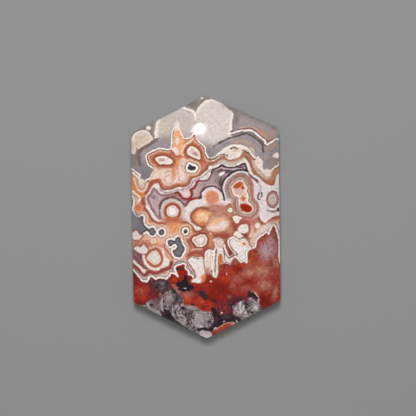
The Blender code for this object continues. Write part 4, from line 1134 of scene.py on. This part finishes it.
def corner_arc(before, corner, after):
    """Points of the arc that rounds one corner, in the order of the outline."""
    back = (before - corner).normalized()
    ahead = (after - corner).normalized()
    half_angle = back.angle(ahead) / 2
    centre = corner + (back + ahead).normalized() * (CORNER_RADIUS / math.sin(half_angle))
    tangent = CORNER_RADIUS / math.tan(half_angle)
    first = corner + back * tangent - centre
    last = corner + ahead * tangent - centre
    directions = [first.slerp(last, i / ARC_STEPS) for i in range(ARC_STEPS + 1)]
    return [centre + direction * CORNER_RADIUS for direction in directions]


def stone_outline():
    """The rounded plan view at its widest, as a closed run of points."""
    afters = CORNERS[1:] + CORNERS[:1]
    points = []
    for i, corner in enumerate(CORNERS):
        points += corner_arc(CORNERS[i - 1], corner, afters[i])
    return np.array([tuple(point) for point in points + points[:1]])


def along(outline, count):
    """That many points, evenly spaced along the closed outline."""
    steps = np.hypot(*np.diff(outline, axis=0).T)
    travelled = np.concatenate(([0.0], np.cumsum(steps)))
    places = np.arange(count) / count * travelled[-1]
    return np.stack([np.interp(places, travelled, outline[:, axis]) for axis in (0, 1)], axis=1)


def rise(points):
    """The dome's height over the girdle at points of the plan view, before it is scaled to 1."""
    share = np.ones(len(points))
    for start, end in zip(CORNERS, CORNERS[1:] + CORNERS[:1]):
        inward = Vector((end.y - start.y, start.x - end.x)).normalized()
        distance = (points - np.array(start) * GIRDLE_RATIO) @ np.array(inward)
        share *= 1 - np.exp(-np.maximum(distance, 0.0) / SHOULDER_WIDTH)
    crown = 1 - CROWN * (points**2).sum(axis=1) / TOP_TIP.length_squared
    return share**SHOULDER_POWER * crown


def dome_height(points):
    middle = rise(np.zeros((1, 2)))[0]
    return GIRDLE_HEIGHT + (THICKNESS - GIRDLE_HEIGHT) * rise(points) / middle


WAVE_HEIGHT = 0.003 * MM
WAVE_CELL = 1.2 * MM
WAVE_SEED = 9


def polish_waves(plan):
    """The hand-polished dome's slight unevenness, which only its highlight shows."""
    places = np.column_stack([plan, np.zeros(len(plan))])
    return random_field(places, WAVE_CELL, WAVE_SEED) * WAVE_HEIGHT


def top_rings():
    """(points, size) of each ring from the middle of the dome out to the girdle."""
    rings = [(RING_STEP * i, GIRDLE_RATIO * i / TOP_RINGS) for i in range(1, TOP_RINGS)]
    last = TOP_RINGS - 1
    rings += [(MOST_POINTS, GIRDLE_RATIO * (last + share) / TOP_RINGS) for share in EDGE_RINGS]
    return rings


def side_rings():
    """(points, size, height) of each ring down the wall and round the bevel."""
    rings = []
    for i in range(1, WALL_STEPS + 1):
        share = i / WALL_STEPS
        size = GIRDLE_RATIO + (1 - GIRDLE_RATIO) * share
        rings.append((MOST_POINTS, size, GIRDLE_HEIGHT + (BACK_BEVEL - GIRDLE_HEIGHT) * share))
    for i in range(1, BEVEL_STEPS + 1):
        share = i / BEVEL_STEPS
        rings.append((MOST_POINTS, 1 + (BACK_RATIO - 1) * share, BACK_BEVEL * (1 - share)))
    return rings


def back_rings():
    """(points, size, height) of each ring across the flat back, to its middle."""
    return [(RING_STEP * i, BACK_RATIO * i / BACK_RINGS, 0) for i in range(BACK_RINGS - 1, 0, -1)]


def strip(inner, outer):
    """Triangles between two closed rings of point numbers, which may differ in how many they have."""
    faces = []
    i = 0
    j = 0
    while i < len(inner) or j < len(outer):
        a = inner[i % len(inner)]
        b = outer[j % len(outer)]
        if j < len(outer) and (i == len(inner) or (j + 1) * len(inner) <= (i + 1) * len(outer)):
            j += 1
            faces.append((a, b, outer[j % len(outer)]))
        else:
            i += 1
            faces.append((a, b, inner[i % len(inner)]))
    return faces


def fan(tip, ring):
    """Triangles from one point to a closed ring."""
    return [(tip, ring[i - 1], ring[i]) for i in range(len(ring))]


def ring_points(outline, count, size, height=None):
    """A smaller copy of the outline at that height, or on the dome where none is given."""
    plan = along(outline, count) * size
    heights = dome_height(plan) + polish_waves(plan) if height is None else np.full(count, height)
    return np.column_stack([plan, heights])


def stone_surface():
    """The points and triangles, from the middle of the dome to the middle of the back."""
    outline = stone_outline()
    rings = [ring_points(outline, *ring) for ring in top_rings() + side_rings() + back_rings()]
    rings = [np.array([(0, 0, THICKNESS)])] + rings + [np.zeros((1, 3))]
    points = np.concatenate(rings)
    points[:, :2] -= (outline.min(axis=0) + outline.max(axis=0)) / 2
    ends = np.cumsum([len(ring) for ring in rings])
    top, *numbers, bottom = [range(end - len(ring), end) for end, ring in zip(ends, rings)]
    faces = fan(top[0], numbers[0])
    for inner, outer in zip(numbers, numbers[1:]):
        faces += strip(inner, outer)
    faces += fan(bottom[0], numbers[-1][::-1])
    return points, np.array(faces)[:, ::-1]


CURVE_STEPS = 4


def smooth_run(points, closed):
    """A curve through given points, as a run of short straight pieces."""
    places = np.array(points, float)
    if closed:
        padded = np.concatenate([places[-1:], places, places[:2]])
    else:
        padded = np.concatenate([places[:1], places, places[-1:]])
    t = np.linspace(0, 1, CURVE_STEPS, endpoint=False)[:, None]
    run = []
    for a, b, c, d in zip(padded, padded[1:], padded[2:], padded[3:]):
        bend = (2 * a - 5 * b + 4 * c - d) * t**2
        twist = (3 * b - a - 3 * c + d) * t**3
        run.append(0.5 * (2 * b + (c - a) * t + bend + twist))
    run = np.concatenate(run)
    return np.concatenate([run, run[:1] if closed else places[-1:]])


TILE = 8
TINY = 1e-9

# Where the mesh's points are in the pattern, and their numbers a square at a time
Places = namedtuple("Places", "at tiles")


def make_tiles(at):
    """The places' numbers, a square of the pattern at a time."""
    cells = np.floor(at / TILE).astype(int)
    order = np.lexsort(cells.T)
    ends = np.flatnonzero((np.diff(cells[order], axis=0) != 0).any(axis=1)) + 1
    return np.split(order, ends)


def gaps(here, starts, steps):
    """How far each place is from the nearest of some straight pieces."""
    squares = np.maximum((steps**2).sum(axis=1), TINY)
    away = here[:, None] - starts
    share = np.clip((away * steps).sum(axis=2) / squares, 0, 1)
    gap = away - share[:, :, None] * steps
    return np.sqrt((gap**2).sum(axis=2).min(axis=1))


def is_inside(here, starts, steps):
    """Whether a level line from each place crosses a closed run an odd number of times."""
    x, y = here.T[:, :, None]
    spans = (starts[:, 1] > y) != (starts[:, 1] + steps[:, 1] > y)
    crossed = spans & (x < starts[:, 0] + steps[:, 0] * (y - starts[:, 1]) / steps[:, 1])
    return crossed.sum(axis=1) % 2 == 1


def run_field(places, field, run, closed, extra):
    """Lowers the field to the distance from a run, less the extra and below nothing inside a closed one."""
    starts = run[:-1]
    steps = np.diff(run, axis=0)
    low = np.minimum(run[:-1], run[1:])
    high = np.maximum(run[:-1], run[1:])
    reach = field.max() + extra
    for tile in places.tiles:
        here = places.at[tile]
        floor = here.min(axis=0)
        top = here.max(axis=0)
        if (floor > high.max(axis=0) + reach).any() or (top < low.min(axis=0) - reach).any():
            continue
        near = ((floor <= high + reach) & (top >= low - reach)).all(axis=1)
        distance = gaps(here, starts[near], steps[near]) if near.any() else np.full(len(here), reach)
        if closed:
            beside = (floor[1] <= high[:, 1]) & (top[1] >= low[:, 1]) & (steps[:, 1] != 0)
            distance[is_inside(here, starts[beside], steps[beside])] *= -1
        field[tile] = np.minimum(field[tile], np.clip(distance, -reach, reach) - extra)


def area_field(places, shapes, reach):
    field = np.full(len(places.at), float(reach))
    for shape in shapes:
        run_field(places, field, smooth_run(shape, True), True, 0.0)
    return field


def line_field(places, shapes, reach):
    field = np.full(len(places.at), float(reach))
    for shape, half_width in shapes:
        run_field(places, field, smooth_run(shape, False), False, half_width)
    return field


def ellipse_share(at, x, y, half_width, half_height, tilt=0):
    """How far out each place is in an ellipse: 0 at its middle and 1 on its edge."""
    turn = math.radians(tilt)
    dx = at[:, 0] - x
    dy = at[:, 1] - y
    along_width = (dx * math.cos(turn) + dy * math.sin(turn)) / half_width
    along_height = (dy * math.cos(turn) - dx * math.sin(turn)) / half_height
    return np.hypot(along_width, along_height)


def spot_field(places, shapes, reach):
    field = np.full(len(places.at), float(reach))
    for shape in shapes:
        half_width, half_height = shape[2:4]
        past = ellipse_share(places.at, *shape) - 1
        field = np.minimum(field, past * math.sqrt(half_width * half_height))
    return field


def glow_field(places, shapes, reach):
    field = np.full(len(places.at), float(reach))
    for shape in shapes:
        field = np.minimum(field, ellipse_share(places.at, *shape) - 1)
    return field


FIELD_MAKERS = {"area": area_field, "line": line_field, "spot": spot_field, "glow": glow_field}

LATTICE = 32


def random_field(at, cell, seed):
    """Smooth random values from -1 to 1 at places in space, with lumps about a cell across."""
    lattice = np.random.default_rng(seed).uniform(-1, 1, (LATTICE, LATTICE, LATTICE))
    scaled = at / cell
    base = np.floor(scaled).astype(int)
    share = scaled - base
    share = share * share * (3 - 2 * share)
    total = np.zeros(len(at))
    for corner in range(8):
        offset = np.array([corner & 1, corner >> 1 & 1, corner >> 2])
        weight = np.prod(np.where(offset, share, 1 - share), axis=1)
        total += weight * lattice[tuple(((base + offset) % LATTICE).T)]
    return total


DRIFT = 2.2 * MM
DRIFT_CELL = 5 * MM
DRIFT_LEAN = (0.8 * MM, -0.6 * MM)
DRIFT_SEEDS = (3, 4)
WOBBLE = 0.06 * MM
WOBBLE_CELL = 0.5 * MM
WOBBLE_SEEDS = (5, 6)


def random_steps(points, cell, seeds):
    """Smooth random steps across and along the stone."""
    return np.stack([random_field(points, cell, seed) for seed in seeds], axis=1)


def pattern_places(points):
    """Where in the photograph's frame each point takes its colour from. Below the dome the bands drift."""
    top = dome_height(points[:, :2])
    nearer = (CAMERA_HEIGHT - GIRDLE_HEIGHT) / (CAMERA_HEIGHT - top)
    depth = np.clip((top - points[:, 2]) / THICKNESS, 0, 1)[:, None]
    drift = random_steps(points, DRIFT_CELL, DRIFT_SEEDS) * DRIFT + np.array(DRIFT_LEAN)
    wobble = random_steps(points, WOBBLE_CELL, WOBBLE_SEEDS) * WOBBLE
    plan = (points[:, :2] + depth * drift + wobble) * nearer[:, None]
    return np.stack([STONE_MIDDLE.x + plan[:, 0] / PIXEL, STONE_MIDDLE.y - plan[:, 1] / PIXEL], axis=1)


def add_field(mesh, name, values, bands):
    """Stores the values so that the bands' first place is 0 and their last is 1."""
    low = bands[0][0]
    spread = bands[-1][0] - low
    attribute = mesh.attributes.new(name, "FLOAT", "POINT")
    attribute.data.foreach_set("value", ((values - low) / spread).astype(np.float32))


# In shares of its size, how far inside its edge a glow is at full strength and how far outside it ends
GLOW_CORE = 0.6
GLOW_RIM = 0.4


def glow_share(places, shapes):
    """How strong the glows are at each place, from 0 to 1, fading out over their rims."""
    field = glow_field(places, shapes, 1)
    return np.clip((GLOW_RIM - field) / (GLOW_RIM + GLOW_CORE), 0, 1)


# Bands of which only the strength is read
SHARE_IN = ((-0.3, INK), (0.3, INK, 0))
SHARE_OUT = ((-0.3, INK, 0), (0.3, INK))
DRUZY_SHARE = ((-1, INK), (0.8, INK, 0))
SOOT_SHARE = ((-0.3, INK), (0.4, INK, 0))

# The ends of a field that is stored as it is
AS_IT_IS = ((0,), (1,))

# Painted light: how much paler the colour is made near the sides, where the shoulder turns from the lamps,
# as (pixels from the side, factors)
PAINTED_RIM_LIGHT = ((0.4, (1.26, 1.26, 1.28)), (2.2, (1.15, 1.15, 1.15)), (4, (1, 1, 1)))

# How many pixels past an outline its field is worked out, and past a mark's last band
EDGE_REACH = 60
NEAR_REACH = 6
SPARE_REACH = 1

# Places of dark soot, and of lighter and darker crystals in the crust
SOOT_PLACES = (
    (160, 286, 11, 8), (178, 297, 5, 9, -10), (226, 312, 10, 9), (166, 315, 8, 4, 24), (252, 295, 5, 4, 30),
)
DRUZY_LIGHT = 0.16
DRUZY_SHADE = 0.24
DRUZY_LIGHTS = (
    (183, 321, 5, 3, 40), (197, 323, 6, 4, 30), (240.5, 310.5, 4, 5), (256, 307.5, 5, 4.6),
    (201.5, 326.3, 2, 1.4), (162.3, 305, 2, 8), (154, 311, 6, 2, 25), (196, 317, 8, 5), (247, 314, 5, 3),
    (169, 300, 4, 6),
)
DRUZY_SHADES = (
    (151.5, 305, 2.4, 1.4), (163.5, 301, 1.4, 1.4), (164.6, 308, 1.2, 3), (183.5, 308.5, 2.6, 1.6),
    (175.5, 312, 1, 2.6), (176.5, 318.5, 1.6, 1.4), (188, 324, 1.4, 1), (210, 321.5, 1.6, 2),
    (212.5, 325.4, 1.4, 2.4), (235, 304.5, 1.2, 1.6), (237, 317.5, 2.6, 1.2), (248.5, 312.5, 1, 1.6),
    (252, 312.6, 2.2, 1), (260, 309, 1.6, 1.4), (167, 316, 7, 3.4, 28), (178, 298, 4, 4),
    (189, 316, 5, 6), (158, 299, 3, 3), (172, 306, 3, 6), (206, 329.4, 7, 1.2), (246, 304, 3, 5),
)


def store_fields(mesh, points):
    at = pattern_places(points)
    places = Places(at, make_tiles(at))
    for marks in (HAZE_MARKS, JASPER_CLOUDS, JASPER_MARKS, CRUST_MARKS, LACE_GROUND, LACE_MARKS):
        for name, kind, shapes, bands in marks:
            reach = max(-bands[0][0], bands[-1][0]) + SPARE_REACH
            add_field(mesh, name, FIELD_MAKERS[kind](places, shapes, reach), bands)
    haze = area_field(places, (GREY_TOP,), EDGE_REACH)
    jasper = area_field(places, (JASPER,), EDGE_REACH)
    add_field(mesh, "haze", haze, HAZE_EDGE)
    add_field(mesh, "jasper", jasper, JASPER_EDGE)
    add_field(mesh, "jasper_share", jasper, SHARE_IN)
    add_field(mesh, "lace_share", np.minimum(haze, jasper), SHARE_OUT)
    # The distance from the sides, for the painted light near them
    add_field(mesh, "painted_rim_light", line_field(places, ((PAINTED_LIGHT_SIDES, 0),), NEAR_REACH), PAINTED_RIM_LIGHT)
    add_field(mesh, "druzy_share", area_field(places, (DRUZY_LEFT, DRUZY_RIGHT), NEAR_REACH), DRUZY_SHARE)
    add_field(mesh, "soot", glow_field(places, SOOT_PLACES, 1), SOOT_SHARE)
    lights = glow_share(places, DRUZY_LIGHTS) * DRUZY_LIGHT
    add_field(mesh, "druzy_tone", lights - glow_share(places, DRUZY_SHADES) * DRUZY_SHADE, AS_IT_IS)


def make(tree, kind, **settings):
    """A node with its properties set."""
    made = tree.nodes.new(kind)
    for name, value in settings.items():
        setattr(made, name, value)
    return made


def feed(tree, sockets, values):
    """Links or sets each socket."""
    for socket, value in zip(sockets, values):
        if isinstance(value, bpy.types.NodeSocket):
            tree.links.new(value, socket)
        else:
            socket.default_value = value


def calculate(tree, operation, *values):
    node = make(tree, "ShaderNodeMath", operation=operation)
    feed(tree, node.inputs, values)
    return node.outputs[0]


def mix(tree, strength, below, above, blend="MIX"):
    mixer = make(tree, "ShaderNodeMix", data_type="RGBA", blend_type=blend)
    feed(tree, (mixer.inputs[0], mixer.inputs[6], mixer.inputs[7]), (strength, below, above))
    return mixer.outputs[2]


def attribute(tree, name):
    return make(tree, "ShaderNodeAttribute", attribute_name=name).outputs["Fac"]


def noise(tree, place, scale, detail, roughness=0.55, distortion=0.0):
    texture = make(tree, "ShaderNodeTexNoise")
    sockets = [texture.inputs[name] for name in ("Vector", "Scale", "Detail", "Roughness", "Distortion")]
    feed(tree, sockets, (place, scale, detail, roughness, distortion))
    return texture.outputs["Fac"]


NOISE_MIDDLE = 0.5
WANDER_DETAIL = 3


def wander(tree, place, scale, reach):
    """Small random steps either way, for edges that aren't drawn with a ruler."""
    centred = calculate(tree, "ADD", noise(tree, place, scale, WANDER_DETAIL), -NOISE_MIDDLE)
    return calculate(tree, "MULTIPLY", centred, 2 * reach)


def scale_group(stops):
    """A node group that reads colour and strength off stops of (place from 0 to 1, colour, strength)."""
    group = bpy.data.node_groups.new("scale", "ShaderNodeTree")
    group.interface.new_socket("Value", in_out="INPUT", socket_type="NodeSocketFloat")
    group.interface.new_socket("Color", in_out="OUTPUT", socket_type="NodeSocketColor")
    group.interface.new_socket("Strength", in_out="OUTPUT", socket_type="NodeSocketFloat")
    outside = make(group, "NodeGroupInput")
    scale = make(group, "ShaderNodeValToRGB")
    result = make(group, "NodeGroupOutput")
    elements = scale.color_ramp.elements
    while len(elements) < len(stops):
        elements.new(0.5)
    for element, (place, colour, strength) in zip(elements, stops):
        element.position = place
        element.color = (*colour[:3], strength)
    group.links.new(outside.outputs["Value"], scale.inputs["Fac"])
    group.links.new(scale.outputs["Color"], result.inputs["Color"])
    group.links.new(scale.outputs["Alpha"], result.inputs["Strength"])
    return group


def ramp(tree, value, stops):
    """Colour and strength read off a scale of stops."""
    reader = make(tree, "ShaderNodeGroup", node_tree=scale_group(stops))
    tree.links.new(value, reader.inputs["Value"])
    return reader.outputs["Color"], reader.outputs["Strength"]


def colour_stops(bands):
    """The bands with their colours in linear light, and with a strength each."""
    return [(place, srgb(*colour), *(strength or (1,))) for place, colour, *strength in bands]


def factor_stops(tones):
    """Stops that hold factors for a colour to be multiplied by, in place of a colour."""
    return [(place, factors, 1) for place, factors in tones]


def scaled(stops):
    """The stops with their places as a field is stored, from 0 to 1."""
    low = stops[0][0]
    spread = stops[-1][0] - low
    return [((place - low) / spread, colour, strength) for place, colour, strength in stops]


def read_bands(tree, name, bands, step=None):
    """Colour and strength of a stored field, with its edges pushed about by small steps."""
    value = attribute(tree, name)
    if step:
        value = calculate(tree, "MULTIPLY_ADD", step, 1 / (bands[-1][0] - bands[0][0]), value)
    return ramp(tree, value, scaled(colour_stops(bands)))


def painted(tree, ground, marks, step, glow_step=None):
    """The ground colour with each mark's bands laid over it in turn."""
    for name, kind, shapes, bands in marks:
        colour, strength = read_bands(tree, name, bands, glow_step if kind == "glow" else step)
        ground = mix(tree, strength, ground, colour)
    return ground


def from_noise(tree, place, settings, stops):
    """Colour read off a scale by noise."""
    colour, _ = ramp(tree, noise(tree, place, *settings), stops)
    return colour


# Noise is (lumps a metre, detail, roughness, distortion). A wander is (lumps a metre, reach in the unit of
# the field that it moves).
HAZE_NOISE = (260, 4)
HAZE_TONES = ((0.3, (140, 129, 132)), (0.5, GREY), (0.7, (158, 147, 150)))
JASPER_NOISE = (300, 6, 0.6, 0.4)
JASPER_TONES = ((0.28, (118, 20, 12)), (0.42, (140, 29, 18)), (0.54, (155, 38, 25)), (0.72, (180, 62, 40)))
LACE_NOISE = (420, 4, 0.55, 1)
LACE_TONES = ((0.3, CLAY), (0.45, TERRACOTTA), (0.6, (214, 156, 128)), (0.75, PEACH))
CRUST_TONES = (
    (0.22, (48, 36, 42)), (0.36, (92, 78, 81)), (0.48, (130, 115, 116)), (0.6, (162, 148, 148)),
    (0.76, (208, 197, 197)),
)
FINE_GRAINS = (5200, 2, 0.7)
FINE_SHARE = 1.3
COARSE_GRAINS = (2400, 4, 0.65)
COARSE_SHARE = 0.85
GRAIN_MIDDLE = 0.575
BAND_WANDER = (1700, 0.85)
CLOUD_WANDER = (420, 0.55)
JASPER_WANDER = (1300, 1.6)
CRUST_WANDER = (1500, 2.2)
DRUZY_WANDER = (700, 3)

# Factors that noise darkens and lightens a colour by
MOTTLE_NOISE = (1900, 3, 0.7)
MOTTLE_FACTORS = ((0.34, (0.7,) * 3), (0.66, (1.26,) * 3))
SOOT_NOISE = (3000, 3, 0.7)
SOOT_FACTORS = ((0.34, (0.42,) * 3), (0.66, (1.9,) * 3))
GRAIN_NOISE = (3000, 2, 0.7)
GRAIN_FACTORS = ((0.3, (0.76,) * 3), (0.7, (1.16,) * 3))
GRAIN_IN_LACE = 1.0
GRAIN_ELSEWHERE = 0.75


def painted_druzy(tree, place, below):
    """Crystal crust cut flat: pale grains with dark gaps between them."""
    fine = calculate(tree, "MULTIPLY", noise(tree, place, *FINE_GRAINS), FINE_SHARE)
    grains = calculate(tree, "MULTIPLY_ADD", noise(tree, place, *COARSE_GRAINS), COARSE_SHARE, fine)
    centred = calculate(tree, "ADD", grains, -GRAIN_MIDDLE)
    value = calculate(tree, "ADD", attribute(tree, "druzy_tone"), centred)
    colour, _ = ramp(tree, value, colour_stops(CRUST_TONES))
    _, share = read_bands(tree, "druzy_share", DRUZY_SHARE, wander(tree, place, *DRUZY_WANDER))
    return mix(tree, share, below, colour)


def jasper_colour(tree, place):
    """The red jasper with its clouds, and the crystal crust that lies in it."""
    jasper = from_noise(tree, place, JASPER_NOISE, colour_stops(JASPER_TONES))
    jasper = painted(tree, jasper, JASPER_CLOUDS, None, wander(tree, place, *CLOUD_WANDER))
    mottle = from_noise(tree, place, MOTTLE_NOISE, factor_stops(MOTTLE_FACTORS))
    jasper = mix(tree, 1.0, jasper, mottle, "MULTIPLY")
    jasper = painted(tree, jasper, JASPER_MARKS, wander(tree, place, *JASPER_WANDER))
    jasper = painted_druzy(tree, place, jasper)
    jasper = painted(tree, jasper, CRUST_MARKS, wander(tree, place, *CRUST_WANDER))
    soot = from_noise(tree, place, SOOT_NOISE, factor_stops(SOOT_FACTORS))
    _, soot_share = read_bands(tree, "soot", SOOT_SHARE)
    return mix(tree, soot_share, jasper, soot, "MULTIPLY")


def stone_colour(tree, place):
    """The grey haze, the jasper and the lace between them, painted paler near the sides as light on the
    shoulder.
    """
    step = wander(tree, place, *BAND_WANDER)
    haze = from_noise(tree, place, HAZE_NOISE, colour_stops(HAZE_TONES))
    haze = painted(tree, haze, HAZE_MARKS, step)
    _, jasper_share = read_bands(tree, "jasper_share", SHARE_IN, step)
    whole = mix(tree, jasper_share, haze, jasper_colour(tree, place))
    lace = from_noise(tree, place, LACE_NOISE, colour_stops(LACE_TONES))
    lace = painted(tree, lace, LACE_GROUND, step)
    _, lace_share = read_bands(tree, "lace_share", SHARE_OUT, step)
    whole = mix(tree, lace_share, whole, lace)
    for name, bands in (("haze", HAZE_EDGE), ("jasper", JASPER_EDGE)):
        colour, strength = read_bands(tree, name, bands, step)
        whole = mix(tree, strength, whole, colour)
    whole = painted(tree, whole, LACE_MARKS, step)
    grain = from_noise(tree, place, GRAIN_NOISE, factor_stops(GRAIN_FACTORS))
    more_in_lace = GRAIN_IN_LACE - GRAIN_ELSEWHERE
    grain_share = calculate(tree, "MULTIPLY_ADD", lace_share, more_in_lace, GRAIN_ELSEWHERE)
    whole = mix(tree, grain_share, whole, grain, "MULTIPLY")
    # Painted light: the colour is made paler near the sides, where the shoulder turns from the lamps
    painted_rim_light, _ = ramp(tree, attribute(tree, "painted_rim_light"), scaled(factor_stops(PAINTED_RIM_LIGHT)))
    return mix(tree, 1.0, whole, painted_rim_light, "MULTIPLY")


POLISH_ROUGHNESS = 0.09
AGATE_IOR = 1.54


def stone_material():
    material = bpy.data.materials.new("polished_lace_agate")
    material.use_nodes = True
    tree = material.node_tree
    shader = tree.nodes["Principled BSDF"]
    place = make(tree, "ShaderNodeTexCoord").outputs["Object"]
    tree.links.new(stone_colour(tree, place), shader.inputs["Base Color"])
    shader.inputs["Roughness"].default_value = POLISH_ROUGHNESS
    shader.inputs["IOR"].default_value = AGATE_IOR
    return material


FLOOR_HALF = 0.6
FLOOR_GREY = (143, 143, 143)
FLOOR_ROUGHNESS = 0.9
FLOOR_SHINE = 0.1


def floor_material():
    material = bpy.data.materials.new("studio_floor")
    material.use_nodes = True
    shader = material.node_tree.nodes["Principled BSDF"]
    shader.inputs["Base Color"].default_value = srgb(*FLOOR_GREY)
    shader.inputs["Roughness"].default_value = FLOOR_ROUGHNESS
    shader.inputs["Specular IOR Level"].default_value = FLOOR_SHINE
    return material


def make_stone():
    points, faces = stone_surface()
    mesh = bpy.data.meshes.new("polished_stone")
    mesh.from_pydata(points.tolist(), [], faces.tolist())
    mesh.shade_smooth()
    store_fields(mesh, points)
    mesh.materials.append(stone_material())
    stone = bpy.data.objects.new("polished_stone", mesh)
    bpy.context.scene.collection.objects.link(stone)
    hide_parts("cabochon")
    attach(stone, "root")


def make_floor():
    mesh = bpy.data.meshes.new("floor")
    corners = [(FLOOR_HALF * x, FLOOR_HALF * y, 0) for x, y in ((-1, -1), (1, -1), (1, 1), (-1, 1))]
    mesh.from_pydata(corners, [], [range(4)])
    mesh.materials.append(floor_material())
    floor = bpy.data.objects.new("floor", mesh)
    bpy.context.scene.collection.objects.link(floor)


SENSOR = 36.0


def make_camera():
    data = bpy.data.cameras.new("camera")
    data.sensor_width = SENSOR
    data.lens = SENSOR * (CAMERA_HEIGHT - GIRDLE_HEIGHT) / (FRAME_PIXELS * PIXEL)
    camera = bpy.data.objects.new("camera", data)
    middle = (Vector((FRAME_PIXELS / 2, FRAME_PIXELS / 2)) - STONE_MIDDLE) * PIXEL
    camera.location = (middle.x, -middle.y, CAMERA_HEIGHT)
    bpy.context.scene.collection.objects.link(camera)
    bpy.context.scene.camera = camera


SOFTBOX_PLACE = Vector((-0.01, 0.19, 0.45))
SOFTBOX_SIZE = (0.14, 0.22)
SOFTBOX_POWER = 1.41
TOP_LIGHT_PLACE = Vector((0.0, 0.0, 0.55))
TOP_LIGHT_SIZE = 0.1
TOP_LIGHT_POWER = 0.74
GLINT_TOWARDS = Vector((-0.0604, 0.4436, 0.9182))
GLINT_DISTANCE = 0.5
GLINT_SIZE = (0.048, 0.115)
GLINT_POWER = 0.22
ROOM_COLOUR = (1, 1, 1, 1)
ROOM_LIGHT = 0.17


def area_light(name, place, size, power):
    data = bpy.data.lights.new(name, "AREA")
    data.shape = "ELLIPSE"
    data.size, data.size_y = size
    data.energy = power
    lamp = bpy.data.objects.new(name, data)
    lamp.location = place
    lamp.rotation_euler = (-place).to_track_quat("-Z", "Y").to_euler()
    bpy.context.scene.collection.objects.link(lamp)
    return lamp


def make_lights():
    softbox = area_light("softbox", SOFTBOX_PLACE, SOFTBOX_SIZE, SOFTBOX_POWER)
    softbox.visible_glossy = False
    top_light = area_light("top_light", TOP_LIGHT_PLACE, (TOP_LIGHT_SIZE, TOP_LIGHT_SIZE), TOP_LIGHT_POWER)
    top_light.visible_glossy = False
    area_light("glint", GLINT_TOWARDS * GLINT_DISTANCE, GLINT_SIZE, GLINT_POWER)
    world = bpy.data.worlds.new("studio")
    world.use_nodes = True
    background = world.node_tree.nodes["Background"]
    background.inputs["Color"].default_value = ROOM_COLOUR
    background.inputs["Strength"].default_value = ROOM_LIGHT
    bpy.context.scene.world = world


bpy.context.scene.view_settings.view_transform = "Standard"
make_camera()
make_stone()
make_floor()
make_lights()
